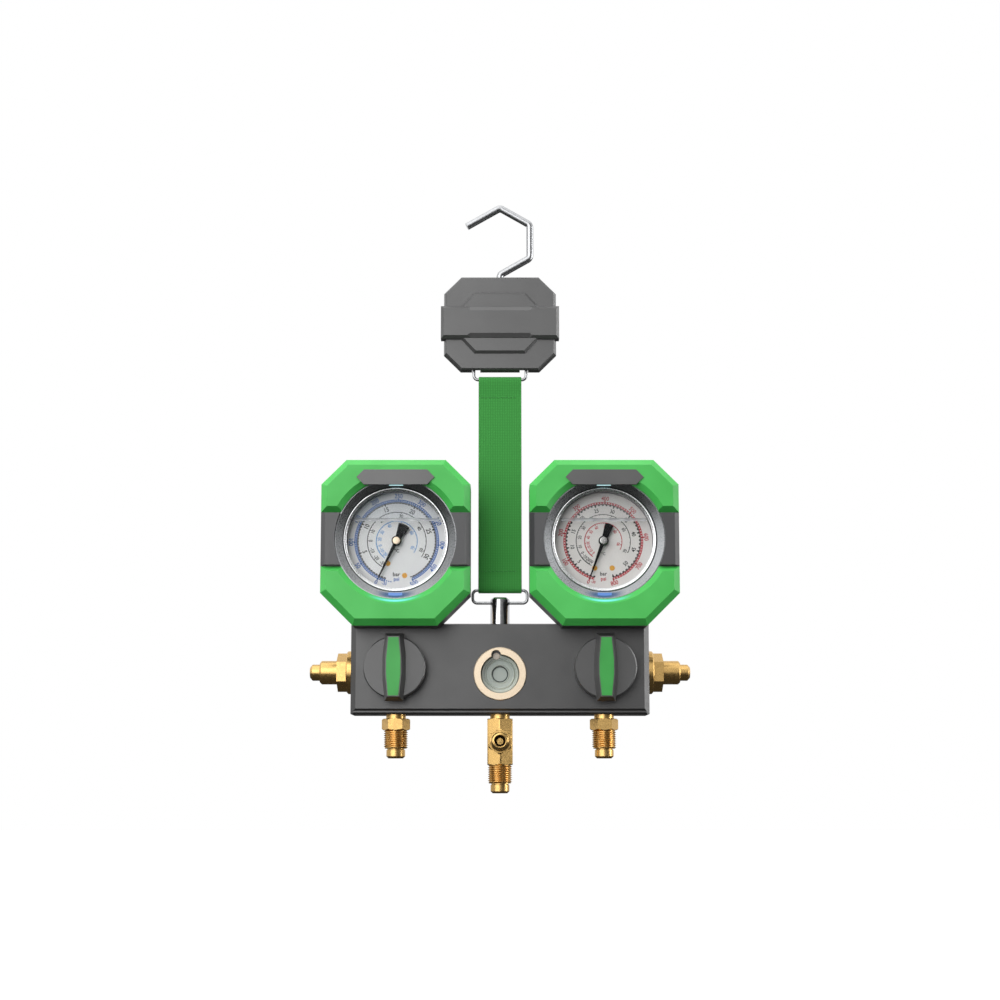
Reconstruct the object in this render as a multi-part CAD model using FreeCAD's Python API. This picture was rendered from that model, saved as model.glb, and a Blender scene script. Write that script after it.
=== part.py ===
import FreeCAD, Part
import math
import os

os.makedirs("parts", exist_ok=True)

V = FreeCAD.Vector
X_AXIS = V(1, 0, 0)
Y_AXIS = V(0, 1, 0)
Z_AXIS = V(0, 0, 1)

# A two-valve refrigerant manifold gauge set, hanging from its hook.
# All lengths are in millimetres. X runs to the right as the user reads the dials, +Y away from the
# user, +Z up. The origin is the underside of the hook's bend, where the set hangs from a rail.

# Shared clearances
RUN_FIT = 0.08          # radial clearance of a shaft or a ring wire in its hole
SOFT_GAP = 0.3          # clearance of webbing round a wire
SLIDE_GAP = 0.15        # clearance of a button or a piston in its bore
STEP_GAP = 0.3          # clearance between moving faces that never touch

# Hook of bent round bar
HOOK_WIRE_R = 2.4
HOOK_SIDE = 23.5        # side of the open hexagon
HOOK_BEND_R = 3.2       # bend radius of the bar's centre line
HOOK_TIP_LEN = 26.0     # free arm from the top bend
SHANK_LEN = 13.0        # from the hexagon's lowest corner down into the hanger
SHANK_HEAD_R = 3.6
SHANK_HEAD_H = 3.0

# Magnetic hanger under the hook
HANGER_DROP = 1.9       # hexagon's lowest corner above the hanger's top face
HANGER_W = 76.0
HANGER_H = 66.0
HANGER_CUT = 11.5       # corner cut of the octagon
HANGER_FRONT_T = 5.0
HANGER_BACK_T = 9.0
HANGER_EDGE = 0.9       # bevel round the front
HANGER_DRAFT = 1.0      # how much the front shell widens towards the joint
HANGER_SPLIT_Y = 0.5    # joint plane of the two shells
PANEL_TOP_W = 34.5      # flat of the raised octagonal panel
PANEL_W = 51.5
PANEL_H = 42.5
PANEL_CUT_H = 9.3
PANEL_T = 1.8
PANEL_EDGE = 1.8
BAND_W = 79.8
BAND_H = 22.6
BAND_T = 3.4            # how far the band stands in front of the shell
BAND_EDGE = 2.0
SCALLOP_W = 40.5        # notch in the band's edges, at its deepest
SCALLOP_H = 1.5         # how much further the notch's bevel runs
MAGNET_R = 15.0
MAGNET_T = 5.0
MAGNET_RIM = 1.6        # how far the magnet stands behind the back shell
MAGNET_DOWN = 6.0       # magnet under the hanger's middle
SCREW_X = 27.0
SCREW_Z = 17.0
SCREW_HEAD_R = 2.6
SCREW_R = 1.3
SCREW_HEAD_T = 1.6
SCREW_LEN = 7.0
SCREW_SEAT = 3.0        # screw head behind the joint plane

# Wire rings and strap
RING_WIRE_R = 1.0
RING_BEND_R = 3.0
RING_SWING = 27.0       # half angle of the slots that the upper ring swings in
UPPER_RING_W = 35.2     # between the centre lines of the side bars
UPPER_RING_H = 10.0
LOWER_RING_W = 36.2
LOWER_RING_H = 8.6
UPPER_RING_DROP = 5.2   # lower bar's centre under the hanger's bottom face
STRAP_W = 28.9
STRAP_T = 1.4
STRAP_LEN = 143.2       # between the centres of the two bars it loops round
STRAP_SEAM = 11.0       # from a bar's centre to where the two layers meet

# Manifold block
BLOCK_W = 196.0
BLOCK_H = 59.45
BLOCK_D = 36.0
BLOCK_EDGE = 3.5        # bevel at the front's ends
BLOCK_LOW_EDGE = 1.4    # upper of the two bevels along the front's lower edge
BLOCK_LOW_STEP = 1.05   # flat between them
BLOCK_FOOT_EDGE = 1.0   # lower bevel
BLOCK_TOP_EDGE = 0.8
BLOCK_BACK_EDGE = 1.0
POST_SETBACK = 10.25    # block's front face to the post's axis
POST_R = 6.4
POST_EDGE = 1.4
POST_TOP = 3.5          # post above the centre of its cross hole
POST_EYE_H = 14.35      # centre of the cross hole above the block
POST_THREAD_R = 4.0
POST_THREAD_LEN = 9.0
GALLERY_R = 2.5
GALLERY_BACK = 8.0      # long gallery in front of the block's back

# Valves with their knobs
VALVE_INSET = 29.4      # valve axis from the block's end
VALVE_DOWN = 29.65      # valve axis under the block's top
VALVE_BORE_R = 6.2
SEAT_Y = 21.0           # valve seat behind the block's front face
GLAND_R = 9.5
GLAND_LEN = 8.6
SPINDLE_R = 3.0
SPINDLE_FLANGE_R = 5.0
SPINDLE_FLANGE_T = 1.5
PISTON_LEN = 8.5
PISTON_TIP = 2.0
PISTON_FLOOR = 1.0
PISTON_FACE = 1.5       # sealing face wider than the gallery
VALVE_LIFT = 2.5
KNOB_R = 20.3
KNOB_GAP = 0.8          # between the block and the knob's skirt
KNOB_DISC_T = 10.5
KNOB_RECESS_R = 17.5
KNOB_RECESS = 2.0       # depth of the hollow that faces the block
KNOB_RIM = 0.8
KNOB_CAP = 1.5          # knob in front of the spindle's end
GRIP_T = 8.0
GRIP_W = 15.6           # grip's foot, across its middle
GRIP_LEN = 44.0
GRIP_NARROW = 1.7       # how much each side of the foot closes in towards its ends
GRIP_TAPER = 14.0       # stretch over which it closes in
GRIP_DRAFT = 2.6        # how much the grip's front is smaller all round
HUB_R = 6.0
INSERT_EDGE = 0.65      # rim of the grip round its insert
INSERT_T = 1.6
INSERT_PROUD = 0.4

# Sight glass
SIGHT_DOWN = 33.25
SIGHT_R = 17.4
SIGHT_IN_R = 12.7
SIGHT_SINK = 4.0
SIGHT_PROUD = 0.8
SIGHT_NOTCH_R = 3.2
SIGHT_NOTCH_ANGLE = 11.5    # notch's place, to the left of the top
SIGHT_CHAMBER = 14.0
GLASS_T = 3.5
GLASS_RIM_T = 0.8       # flange behind the glass's raised middle
GLASS_EDGE = 1.4
GLASS_BACK = 5.0        # glass front behind the block's front face
TARGET_R = 5.2
TARGET_T = 3.0
TARGET_STEM = 1.2       # wall of the target's stem
TARGET_FOOT = 1.5

# Flare fittings
PORT_INSET = 29.4       # port axis from the block's end
PORT_SETBACK = 11.5
FLARE_R = 7.94          # 5/8-18 UNF over its crests
FLARE_LEN = 12.1
FLARE_NOSE_R = 6.2
FLARE_NOSE_LEN = 6.4
FLARE_BORE_R = 2.9
FLARE_GROOVE = 0.9
PORT_NECK_R = 6.5
PORT_NECK_LEN = 2.8
PORT_HEX_AF = 16.2
PORT_HEX_LEN = 7.5
PORT_SINK = 9.0
TEE_HEX_AF = 16.6
TEE_BAR_LEN = 30.3
SIDE_PORT_AF = 14.8
SIDE_PORT_HEX_LEN = 5.0
SIDE_PORT_R = 6.35      # 1/2-20 UNF over its crests
SIDE_PORT_LEN = 10.5
SIDE_PORT_BORE_R = 3.6
SIDE_PORT_TIP = 2.4     # plain tip in front of the thread
SIDE_PORT_TAPER = 2.0
SIDE_PORT_SINK = 4.0
SIDE_PORT_HEX_BACK = 7.0 # hexagon's rear in front of the tee's axis
THREAD_DEPTH = 0.6
CORE_R = 2.6
CORE_LEN = 6.0
CORE_PIN_R = 0.9
CORE_PIN_OUT = 4.5
CORE_PLUG_T = 1.0
CORE_DEPTH = 8.0        # core body behind the mouth of its port

# Hose holders at the block's ends
HOLDER_DOWN = 31.35
HOLDER_FLANGE_R = 14.3
HOLDER_FLANGE_T = 3.6
HOLDER_HEX_AF = 22.2
HOLDER_HEX_LEN = 6.3
HOLDER_R = 7.85
HOLDER_LEN = 11.8
HOLDER_TIP_R = 5.4
HOLDER_TIP_LEN = 6.6
HOLDER_SINK = 6.0
HOLDER_SINK_R = 6.5

# Pressure gauges
GAUGE_INSET = 30.3      # gauge axis from the block's end
GAUGE_UP = 53.15        # gauge centre above the block's top
CASE_R = 33.4           # steel case; the rings, window and dial take their radii from it
BEZEL_WALL = 0.9        # bezel ring round the case
BEZEL_LIP = 1.4         # how far the bezel ring's lip reaches in from the case's outside
BEZEL_FRONT = 17.0      # bezel's face in front of the block's front face
BEZEL_LEN = 10.0
BEZEL_LIP_T = 1.0
BEZEL_EDGE = 1.2
WINDOW_GAP = 0.2        # round the window, under the bezel ring
WINDOW_T = 2.5
CASE_WALL = 1.0
CASE_LEN = 34.0
DIAL_GAP = 0.2          # round the dial, in the case
DIAL_T = 0.6
DIAL_BEHIND = 9.0       # dial's face behind the bezel's face
DIAL_HOLE_R = 2.4
SOCKET_W = 14.0
SOCKET_TOP = 13.0       # socket's top under the gauge's centre
STEM_R = 6.4
STEM_SINK = 10.0
SOCKET_FOOT = 3.0       # round neck between the block and the square socket
SOCKET_BORE_R = 1.5
SOCKET_CAP = 4.0        # socket above its bore

# Pointer movement
GEAR_MODULE = 0.4
PINION_TEETH = 12
GEAR_RATIO = 8
PRESSURE_ANGLE = 25.0
TOOTH_BACKLASH = 0.10   # how much each tooth is thinned
TOOTH_TIP = 0.8         # tip height in modules
TOOTH_ROOT = 1.15       # root depth in modules
SECTOR_TEETH = 15
SECTOR_T = 1.4
PINION_T = 2.6
SECTOR_RIM = 2.2
SECTOR_TAIL = 7.0
SECTOR_TAIL_W = 2.4
SECTOR_TAIL_ANGLE = 100.0   # tail's direction, clockwise from straight up
SECTOR_HUB_R = 2.6
SECTOR_ARM = 0.12       # half angle of the sector's arm where it meets the rim, in radians
ARBOR_R = 0.8
PLATE_T = 1.0
PLATE_W = 11.0
PLATE_FRONT = 3.0       # movement's front plate behind the dial
PILLAR_R = 1.2
PILLAR_X = 4.0
PILLAR_DOWN = 4.2       # lower pillars under the sector's arbor
PILLAR_UP = 2.4         # upper pillars above the pointer's arbor
PLATE_EDGE = 1.8        # plate beyond its pillars
LOW_REST_ANGLE = 205.7  # pointer at rest, clockwise from the top, as the user reads the dial
LOW_POINTER_LEN = 27.0
LOW_TAIL_LEN = 12.0
LOW_TAIL_ROOT_W = 1.2
LOW_TAIL_END_W = 7.7
HIGH_REST_ANGLE = 200.3
HIGH_POINTER_LEN = 23.6
HIGH_TAIL_LEN = 11.9
HIGH_TAIL_ROOT_W = 3.0
HIGH_TAIL_END_W = 5.7
TAIL_BULGE = 0.7        # how far the tail's end curves out
POINTER_ROOT_W = 2.6
POINTER_TIP_W = 0.8
POINTER_T = 0.5
POINTER_ABOVE = 2.2     # pointer in front of the dial
POINTER_HUB_R = 3.2
POINTER_HUB_T = 0.9     # hub in front of the pointer
POINTER_COLLAR = 0.4    # hub behind the pointer
TUBE_INSET = 8.4        # tube's middle inside the case's outside
TUBE_SECTION = (8.0, 2.4)
TUBE_SWEEP = 285.0
LINK_R = 0.5
LINK_GAP = 0.4          # link in front of the sector's tail

# Boots and guards round the gauges
BOOT_W = 97.0
BOOT_H = 108.5
BOOT_DROP = 2.45        # boot's centre under the gauge's centre
BOOT_CUT_TOP = 16.2     # upper corner cut
BOOT_CUT_LOW = 21.2     # lower corner cut
BOOT_REAR = 6.0         # rear of the boot's frame behind the block's front face
BOOT_EDGE = 3.0         # bevel round the boot's rear
GUARD_SEAT = 20.0       # plane that the guards sit on, in front of the block
GUARD_T = 5.0
GUARD_EDGE = 4.2
BAND_DROP = 1.3         # grey middle lower than the guards' face
GUARD_IN_EDGE = 3.4
UPPER_GUARD_LOW = 16.5  # upper guard's lower edge above the gauge's centre
LOWER_GUARD_TOP = 17.5  # lower guard's upper edge under the gauge's centre
GUARD_END_EDGE = 3.4
TRIM_GAP = 0.3          # between the bezel ring and the trim ring
TRIM_W = 4.9            # trim ring between the bezel ring and the guards
TRIM_T = 1.6
TRIM_DEPTH = 4.5
TRIM_RIM = 0.6
CUP_WALL = 4.4          # boot round the case's rear
CUP_BACK_T = 2.4
CUP_GAP = 0.2
SOCKET_GAP = 1.0        # boot round the gauge's socket
BLOCK_GAP = 0.2         # boot in front of the block
PLATE_NAME_W = 50.4
PLATE_NAME_FLAT = 41.0
PLATE_NAME_H = 9.7
PLATE_NAME_T = 2.0
PLATE_NAME_PROUD = 0.9
LAMP_W = 9.0
LAMP_IN = 1.6           # lamp's middle outside the trim ring's inner edge
LAMP_H = 2.0
LAMP_T = 3.4
BUTTON_R = 5.0
BUTTON_PROUD = 1.6
BUTTON_TRAVEL = 1.0
BUTTON_RETAINER = 1.0   # boot wall that keeps the button's collar in
BUTTON_COLLAR_R = 6.2
BUTTON_DOWN = 20.0

# Levels worked out from the sizes above
hook_centre_z = HOOK_WIRE_R
hex_low_z = hook_centre_z - 2 * HOOK_SIDE
hanger_top_z = hex_low_z - HANGER_DROP
hanger_mid_z = hanger_top_z - HANGER_H / 2
hanger_bottom_z = hanger_top_z - HANGER_H
upper_bar_z = hanger_bottom_z - UPPER_RING_DROP + UPPER_RING_H
strap_top_z = hanger_bottom_z - UPPER_RING_DROP
strap_low_z = strap_top_z - STRAP_LEN
eye_z = strap_low_z - LOWER_RING_H
block_top_z = eye_z - POST_EYE_H
block_bottom_z = block_top_z - BLOCK_H
front_y = -POST_SETBACK
back_y = front_y + BLOCK_D
valve_z = block_top_z - VALVE_DOWN
sight_z = block_top_z - SIGHT_DOWN
gauge_z = block_top_z + GAUGE_UP
port_y = front_y + PORT_SETBACK
bezel_y = front_y - BEZEL_FRONT
dial_y = bezel_y + DIAL_BEHIND
guard_seat_y = front_y - GUARD_SEAT
guard_face_y = guard_seat_y - GUARD_T
boot_rear_y = front_y + BOOT_REAR
boot_z = gauge_z - BOOT_DROP
seat_y = front_y + SEAT_Y
case_front_y = bezel_y + BEZEL_LIP_T + WINDOW_T
case_back_y = case_front_y + CASE_LEN
cup_back_y = case_back_y + CUP_GAP + CUP_BACK_T
valve_x = BLOCK_W / 2 - VALVE_INSET
port_x = BLOCK_W / 2 - PORT_INSET
gauge_x = BLOCK_W / 2 - GAUGE_INSET
bezel_r = CASE_R + BEZEL_WALL
bezel_in_r = CASE_R - BEZEL_LIP
window_r = CASE_R - WINDOW_GAP
dial_r = CASE_R - CASE_WALL - DIAL_GAP
tube_path_r = CASE_R - TUBE_INSET
cup_r = CASE_R + CUP_GAP + CUP_WALL
trim_in_r = bezel_r + TRIM_GAP
guard_in_r = trim_in_r + TRIM_W
gallery_y = back_y - GALLERY_BACK


def box(x0, x1, y0, y1, z0, z1):
    """A box from its lowest to its highest corner."""
    return Part.makeBox(x1 - x0, y1 - y0, z1 - z0, V(x0, y0, z0))


def rod(radius, start, end):
    """A round bar between two points."""
    return Part.makeCylinder(radius, (end - start).Length, start, end - start)


def rod_x(radius, x0, x1, y, z):
    return rod(radius, V(x0, y, z), V(x1, y, z))


def rod_y(radius, x, y0, y1, z):
    return rod(radius, V(x, y0, z), V(x, y1, z))


def rod_z(radius, x, y, z0, z1):
    return rod(radius, V(x, y, z0), V(x, y, z1))


def turned(profile, place, axis):
    """A solid of revolution: profile is (distance along the axis, radius), closed at both ends."""
    points = [V(0, 0, profile[0][0])]
    points += [V(radius, 0, along) for along, radius in profile]
    points.append(V(0, 0, profile[-1][0]))
    cleaned = [points[0]]
    for point in points[1:]:
        if (point - cleaned[-1]).Length > 1e-6:
            cleaned.append(point)
    if (cleaned[-1] - cleaned[0]).Length < 1e-6:
        cleaned.pop()
    face = Part.Face(Part.makePolygon(cleaned + [cleaned[0]]))
    solid = face.revolve(V(0, 0, 0), Z_AXIS, 360)
    solid.Placement = FreeCAD.Placement(place, FreeCAD.Rotation(Z_AXIS, axis))
    return solid


def outline_wire(points, y):
    """A closed wire of straight edges in the plane at y, from (x, z) corners."""
    corners = [V(x, y, z) for x, z in points]
    return Part.makePolygon(corners + [corners[0]])


def plate(points, y0, y1):
    """A flat plate with the outline (x, z), from y0 to y1."""
    return Part.Face(outline_wire(points, y0)).extrude(V(0, y1 - y0, 0))


def frustum(front, back, y0, y1):
    """A plate whose outline changes evenly from one polygon to another with as many corners."""
    return Part.makeLoft([outline_wire(front, y0), outline_wire(back, y1)], True, True)


def octagon(width, height, cut_top, cut_low, x, z):
    """Corners of a rectangle with its corners cut at 45 degrees, counter-clockwise."""
    right = x + width / 2
    left = x - width / 2
    top = z + height / 2
    low = z - height / 2
    return [
        (left + cut_low, low), (right - cut_low, low),
        (right, low + cut_low), (right, top - cut_top),
        (right - cut_top, top), (left + cut_top, top),
        (left, top - cut_top), (left, low + cut_low),
    ]


def smaller_octagon(width, height, cut_top, cut_low, x, z, inset):
    """The same octagon with each side moved inwards by inset."""
    trim = inset * (2 - math.sqrt(2))
    return octagon(width - 2 * inset, height - 2 * inset, cut_top - trim, cut_low - trim, x, z)


def hexagon_bar(across_flats, start, end, corner_direction):
    """A hexagonal bar between two points, with one corner towards corner_direction."""
    axis = end - start
    axis.normalize()
    first = V(corner_direction)
    side = axis.cross(first)
    radius = across_flats / math.sqrt(3)
    corners = []
    for step in range(6):
        angle = math.radians(60 * step)
        corners.append(start + first * (radius * math.cos(angle)) + side * (radius * math.sin(angle)))
    return Part.Face(Part.makePolygon(corners + [corners[0]])).extrude(end - start)


def bent_bar(points, radius, bend_radius, closed=False):
    """A round bar along straight runs joined by tangent arcs."""
    count = len(points)
    edges = []
    places = range(count) if closed else range(1, count - 1)
    arcs = {}
    for i in places:
        before = points[i - 1]
        here = points[i]
        after = points[(i + 1) % count]
        incoming = (here - before).normalize()
        outgoing = (after - here).normalize()
        turn = incoming.getAngle(outgoing)
        reach = bend_radius * math.tan(turn / 2)
        arc_start = here - incoming * reach
        arc_end = here + outgoing * reach
        inward = (outgoing - incoming).normalize()
        middle = here + inward * (bend_radius / math.cos(turn / 2) - bend_radius)
        arcs[i] = (arc_start, middle, arc_end)
    spans = range(count) if closed else range(count - 1)
    for i in spans:
        j = (i + 1) % count
        start = arcs[i][2] if i in arcs else points[i]
        end = arcs[j][0] if j in arcs else points[j]
        edges.append(Part.LineSegment(start, end).toShape())
        if j in arcs:
            edges.append(Part.Arc(*arcs[j]).toShape())
    path = Part.Wire(edges)
    start = edges[0].Vertexes[0].Point
    direction = edges[0].tangentAt(edges[0].FirstParameter)
    circle = Part.Wire(Part.makeCircle(radius, start, direction))
    return path.makePipeShell([circle], True, False)


def ring_points(width, height, low_z):
    """Corners of a rectangular ring's centre line in the plane y = 0, from a side bar's middle."""
    right = width / 2
    top = low_z + height
    return [V(-right, 0, top), V(-right, 0, low_z), V(right, 0, low_z), V(right, 0, top)]


def fused(first, *others):
    """One solid of several that touch."""
    return first.multiFuse(list(others)).removeSplitter()


def group(*solids):
    """Separate solids kept together in one node."""
    return Part.makeCompound(list(solids))


def save(name, shape):
    """Write one node's file, after a check that its solids are sound."""
    if not shape.isValid():
        print("not valid:", name)
    for solid in shape.Solids:
        if solid.Volume < 0:
            print("inside out:", name)
    shape.exportStep("parts/" + name + ".step")


def make_hook():
    """Open hexagon of round bar, with a headed shank that turns in the hanger."""
    across = HOOK_SIDE * math.cos(math.radians(30))
    top = V(0, 0, hook_centre_z)
    right_top = V(across, 0, hook_centre_z - HOOK_SIDE / 2)
    right_low = V(across, 0, right_top.z - HOOK_SIDE)
    low = V(0, 0, hex_low_z)
    tip_direction = V(-math.cos(math.radians(30)), 0, -math.sin(math.radians(30)))
    tip = top + tip_direction * HOOK_TIP_LEN
    shank_end = low - Z_AXIS * SHANK_LEN
    bar = bent_bar([tip, top, right_top, right_low, low, shank_end], HOOK_WIRE_R, HOOK_BEND_R)
    head = rod_z(SHANK_HEAD_R, 0, 0, shank_end.z - SHANK_HEAD_H, shank_end.z)
    return fused(bar, head)


def hanger_outline(inset):
    return smaller_octagon(HANGER_W, HANGER_H, HANGER_CUT, HANGER_CUT, 0, hanger_mid_z, inset)


def panel_outline(inset):
    half = PANEL_W / 2 - inset
    flat = PANEL_TOP_W / 2 - inset / 2
    top = PANEL_H / 2 - inset
    shoulder = PANEL_H / 2 - PANEL_CUT_H - inset / 3
    rows = [(flat, -top), (half, -shoulder), (half, shoulder), (flat, top)]
    right = [(x, hanger_mid_z + z) for x, z in rows]
    left = [(-x, hanger_mid_z + z) for x, z in reversed(rows)]
    return right + left


def hanger_inside():
    """Room inside the two shells for the hook's shank and the upper ring."""
    shank_low = hex_low_z - SHANK_LEN
    bore = rod_z(HOOK_WIRE_R + RUN_FIT, 0, 0, shank_low - 1, hanger_top_z + 1)
    head_room = rod_z(SHANK_HEAD_R + STEP_GAP, 0, 0, shank_low - SHANK_HEAD_H - STEP_GAP, shank_low)
    bar_half = UPPER_RING_W / 2 + RING_WIRE_R + STEP_GAP
    bar_room = rod_x(RING_WIRE_R + RUN_FIT, -bar_half, bar_half, 0, upper_bar_z)
    depth = upper_bar_z - hanger_bottom_z + 1
    swing = math.tan(math.radians(RING_SWING))
    near = RING_WIRE_R + STEP_GAP
    mouth = near + depth * swing
    side = [V(0, -near, upper_bar_z), V(0, near, upper_bar_z)]
    side += [V(0, mouth, upper_bar_z - depth), V(0, -mouth, upper_bar_z - depth)]
    flare_face = Part.Face(Part.makePolygon(side + [side[0]]))
    slots = []
    slot_w = RING_BEND_R + 2 * RING_WIRE_R + 2 * STEP_GAP
    for start in (-bar_half, bar_half - slot_w):
        slot_face = flare_face.copy()
        slot_face.translate(V(start, 0, 0))
        slots.append(slot_face.extrude(V(slot_w, 0, 0)))
        slots.append(rod_x(near, start, start + slot_w, 0, upper_bar_z))
    return [bore, head_room, bar_room] + slots


def make_band(face_y):
    """Bevelled band across the front shell; its bevel is wider along the middle of both long edges."""
    half = BAND_W / 2
    low = hanger_mid_z - BAND_H / 2
    top = hanger_mid_z + BAND_H / 2
    band_face_y = face_y - BAND_T
    band_edge_y = band_face_y + BAND_EDGE

    def outline(inset):
        return [(inset - half, low + inset), (half - inset, low + inset),
                (half - inset, top - inset), (inset - half, top - inset)]

    band = fused(
        frustum(outline(BAND_EDGE), outline(0), band_face_y, band_edge_y),
        plate(outline(0), band_edge_y, HANGER_SPLIT_Y),
    )
    deep = BAND_EDGE + SCALLOP_H
    notch = SCALLOP_W / 2
    for z, inwards in ((low, 1), (top, -1)):
        corners = [(-notch - 2 * deep, z - inwards * deep), (notch + 2 * deep, z - inwards * deep),
                   (notch, z + inwards * deep), (-notch, z + inwards * deep)]
        face = Part.Face(outline_wire(corners, band_face_y))
        band = band.cut(face.extrude(V(0, BAND_T - PANEL_T, -inwards * deep)))
    return band


def make_hanger():
    """Front shell with its raised panel, the band across it, and the tapered back shell."""
    face_y = HANGER_SPLIT_Y - HANGER_FRONT_T
    edge_y = face_y + HANGER_EDGE
    front = fused(
        frustum(hanger_outline(HANGER_DRAFT), hanger_outline(0), edge_y, HANGER_SPLIT_Y),
        frustum(hanger_outline(HANGER_DRAFT + HANGER_EDGE), hanger_outline(HANGER_DRAFT), face_y, edge_y),
        frustum(panel_outline(PANEL_EDGE), panel_outline(0), face_y - PANEL_T, face_y),
    )
    back_y_here = HANGER_SPLIT_Y + HANGER_BACK_T
    back = frustum(hanger_outline(0), hanger_outline(HANGER_BACK_T), HANGER_SPLIT_Y, back_y_here)
    magnet_y = back_y_here - MAGNET_T + MAGNET_RIM
    magnet = rod_y(MAGNET_R, 0, magnet_y, magnet_y + MAGNET_T, hanger_mid_z - MAGNET_DOWN)
    back = back.cut(magnet)

    band = make_band(face_y)
    band = band.cut(front)

    screws = []
    for x in (-SCREW_X, SCREW_X):
        for z in (hanger_mid_z - SCREW_Z, hanger_mid_z + SCREW_Z):
            head_y = HANGER_SPLIT_Y + SCREW_SEAT
            head = rod_y(SCREW_HEAD_R, x, head_y, head_y + SCREW_HEAD_T, z)
            body = rod_y(SCREW_R, x, head_y - SCREW_LEN + SCREW_HEAD_T, head_y, z)
            screws.append(fused(head, body))
            well = rod_y(SCREW_HEAD_R, x, head_y, back_y_here + 1, z)
            back = back.cut(fused(well, body))
            front = front.cut(body)

    room = hanger_inside()
    save("hanger_front", front.cut(room))
    save("hanger_band", band.cut(room))
    save("hanger_back", back.cut(room))
    save("hanger_magnet", magnet)
    save("hanger_screws", group(*screws))


def make_rings():
    """The two rectangular wire rings, closed with a butt joint."""
    for name, width, height, low_z in (
        ("upper_ring", UPPER_RING_W, UPPER_RING_H, strap_top_z),
        ("lower_ring", LOWER_RING_W, LOWER_RING_H, eye_z),
    ):
        corners = ring_points(width, height, low_z)
        save(name, bent_bar(corners, RING_WIRE_R, RING_BEND_R, closed=True))


def make_strap():
    """Webbing looped round both rings and sewn to itself."""
    inner = RING_WIRE_R + SOFT_GAP
    outer = inner + STRAP_T
    half = STRAP_W / 2
    top = strap_top_z
    low = strap_low_z
    loops = []
    for z in (top, low):
        loops.append(rod_x(outer, -half, half, 0, z))
    web_half = STRAP_T
    seam_top = top - STRAP_SEAM
    seam_low = low + STRAP_SEAM
    outline = [
        V(-half, outer, top), V(-half, web_half, seam_top), V(-half, web_half, seam_low),
        V(-half, outer, low), V(-half, -outer, low), V(-half, -web_half, seam_low),
        V(-half, -web_half, seam_top), V(-half, -outer, top),
    ]
    web = Part.Face(Part.makePolygon(outline + [outline[0]])).extrude(V(STRAP_W, 0, 0))
    eye_top = V(-half - 1, 0, top)
    eye_low = V(-half - 1, 0, low)
    cutters = []
    for eye, end in ((eye_top, seam_top), (eye_low, seam_low)):
        cutters.append(rod(inner, eye, eye + V(STRAP_W + 2, 0, 0)))
        wedge = [
            V(-half - 1, -inner, eye.z), V(-half - 1, inner, eye.z), V(-half - 1, 0, end),
        ]
        face = Part.Face(Part.makePolygon(wedge + [wedge[0]]))
        cutters.append(face.extrude(V(STRAP_W + 2, 0, 0)))
    return fused(web, *loops).cut(cutters)


def make_post():
    """Steel hanging post with a cross hole, screwed into the block."""
    top_z = eye_z + POST_TOP
    post = turned(
        [
            (block_top_z - POST_THREAD_LEN, POST_THREAD_R), (block_top_z, POST_THREAD_R),
            (block_top_z, POST_R), (top_z - POST_EDGE, POST_R), (top_z, POST_R - POST_EDGE),
        ],
        V(0, 0, 0), Z_AXIS,
    )
    return post.cut(rod_x(RING_WIRE_R + RUN_FIT, -POST_R - 1, POST_R + 1, 0, eye_z))


def block_low_edge(half):
    """What is cut away along the front's lower edge: two bevels with a narrow flat between them."""
    step_y = front_y + BLOCK_LOW_EDGE
    step_low = block_bottom_z + BLOCK_FOOT_EDGE
    step_top = step_low + BLOCK_LOW_STEP
    corners = [
        (front_y - 1, block_bottom_z - 1), (front_y - 1, step_top + BLOCK_LOW_EDGE),
        (front_y, step_top + BLOCK_LOW_EDGE), (step_y, step_top), (step_y, step_low),
        (step_y + BLOCK_FOOT_EDGE, block_bottom_z), (step_y + BLOCK_FOOT_EDGE, block_bottom_z - 1),
    ]
    points = [V(-half - 1, y, z) for y, z in corners]
    return Part.Face(Part.makePolygon(points + [points[0]])).extrude(V(2 * half + 2, 0, 0))


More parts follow.
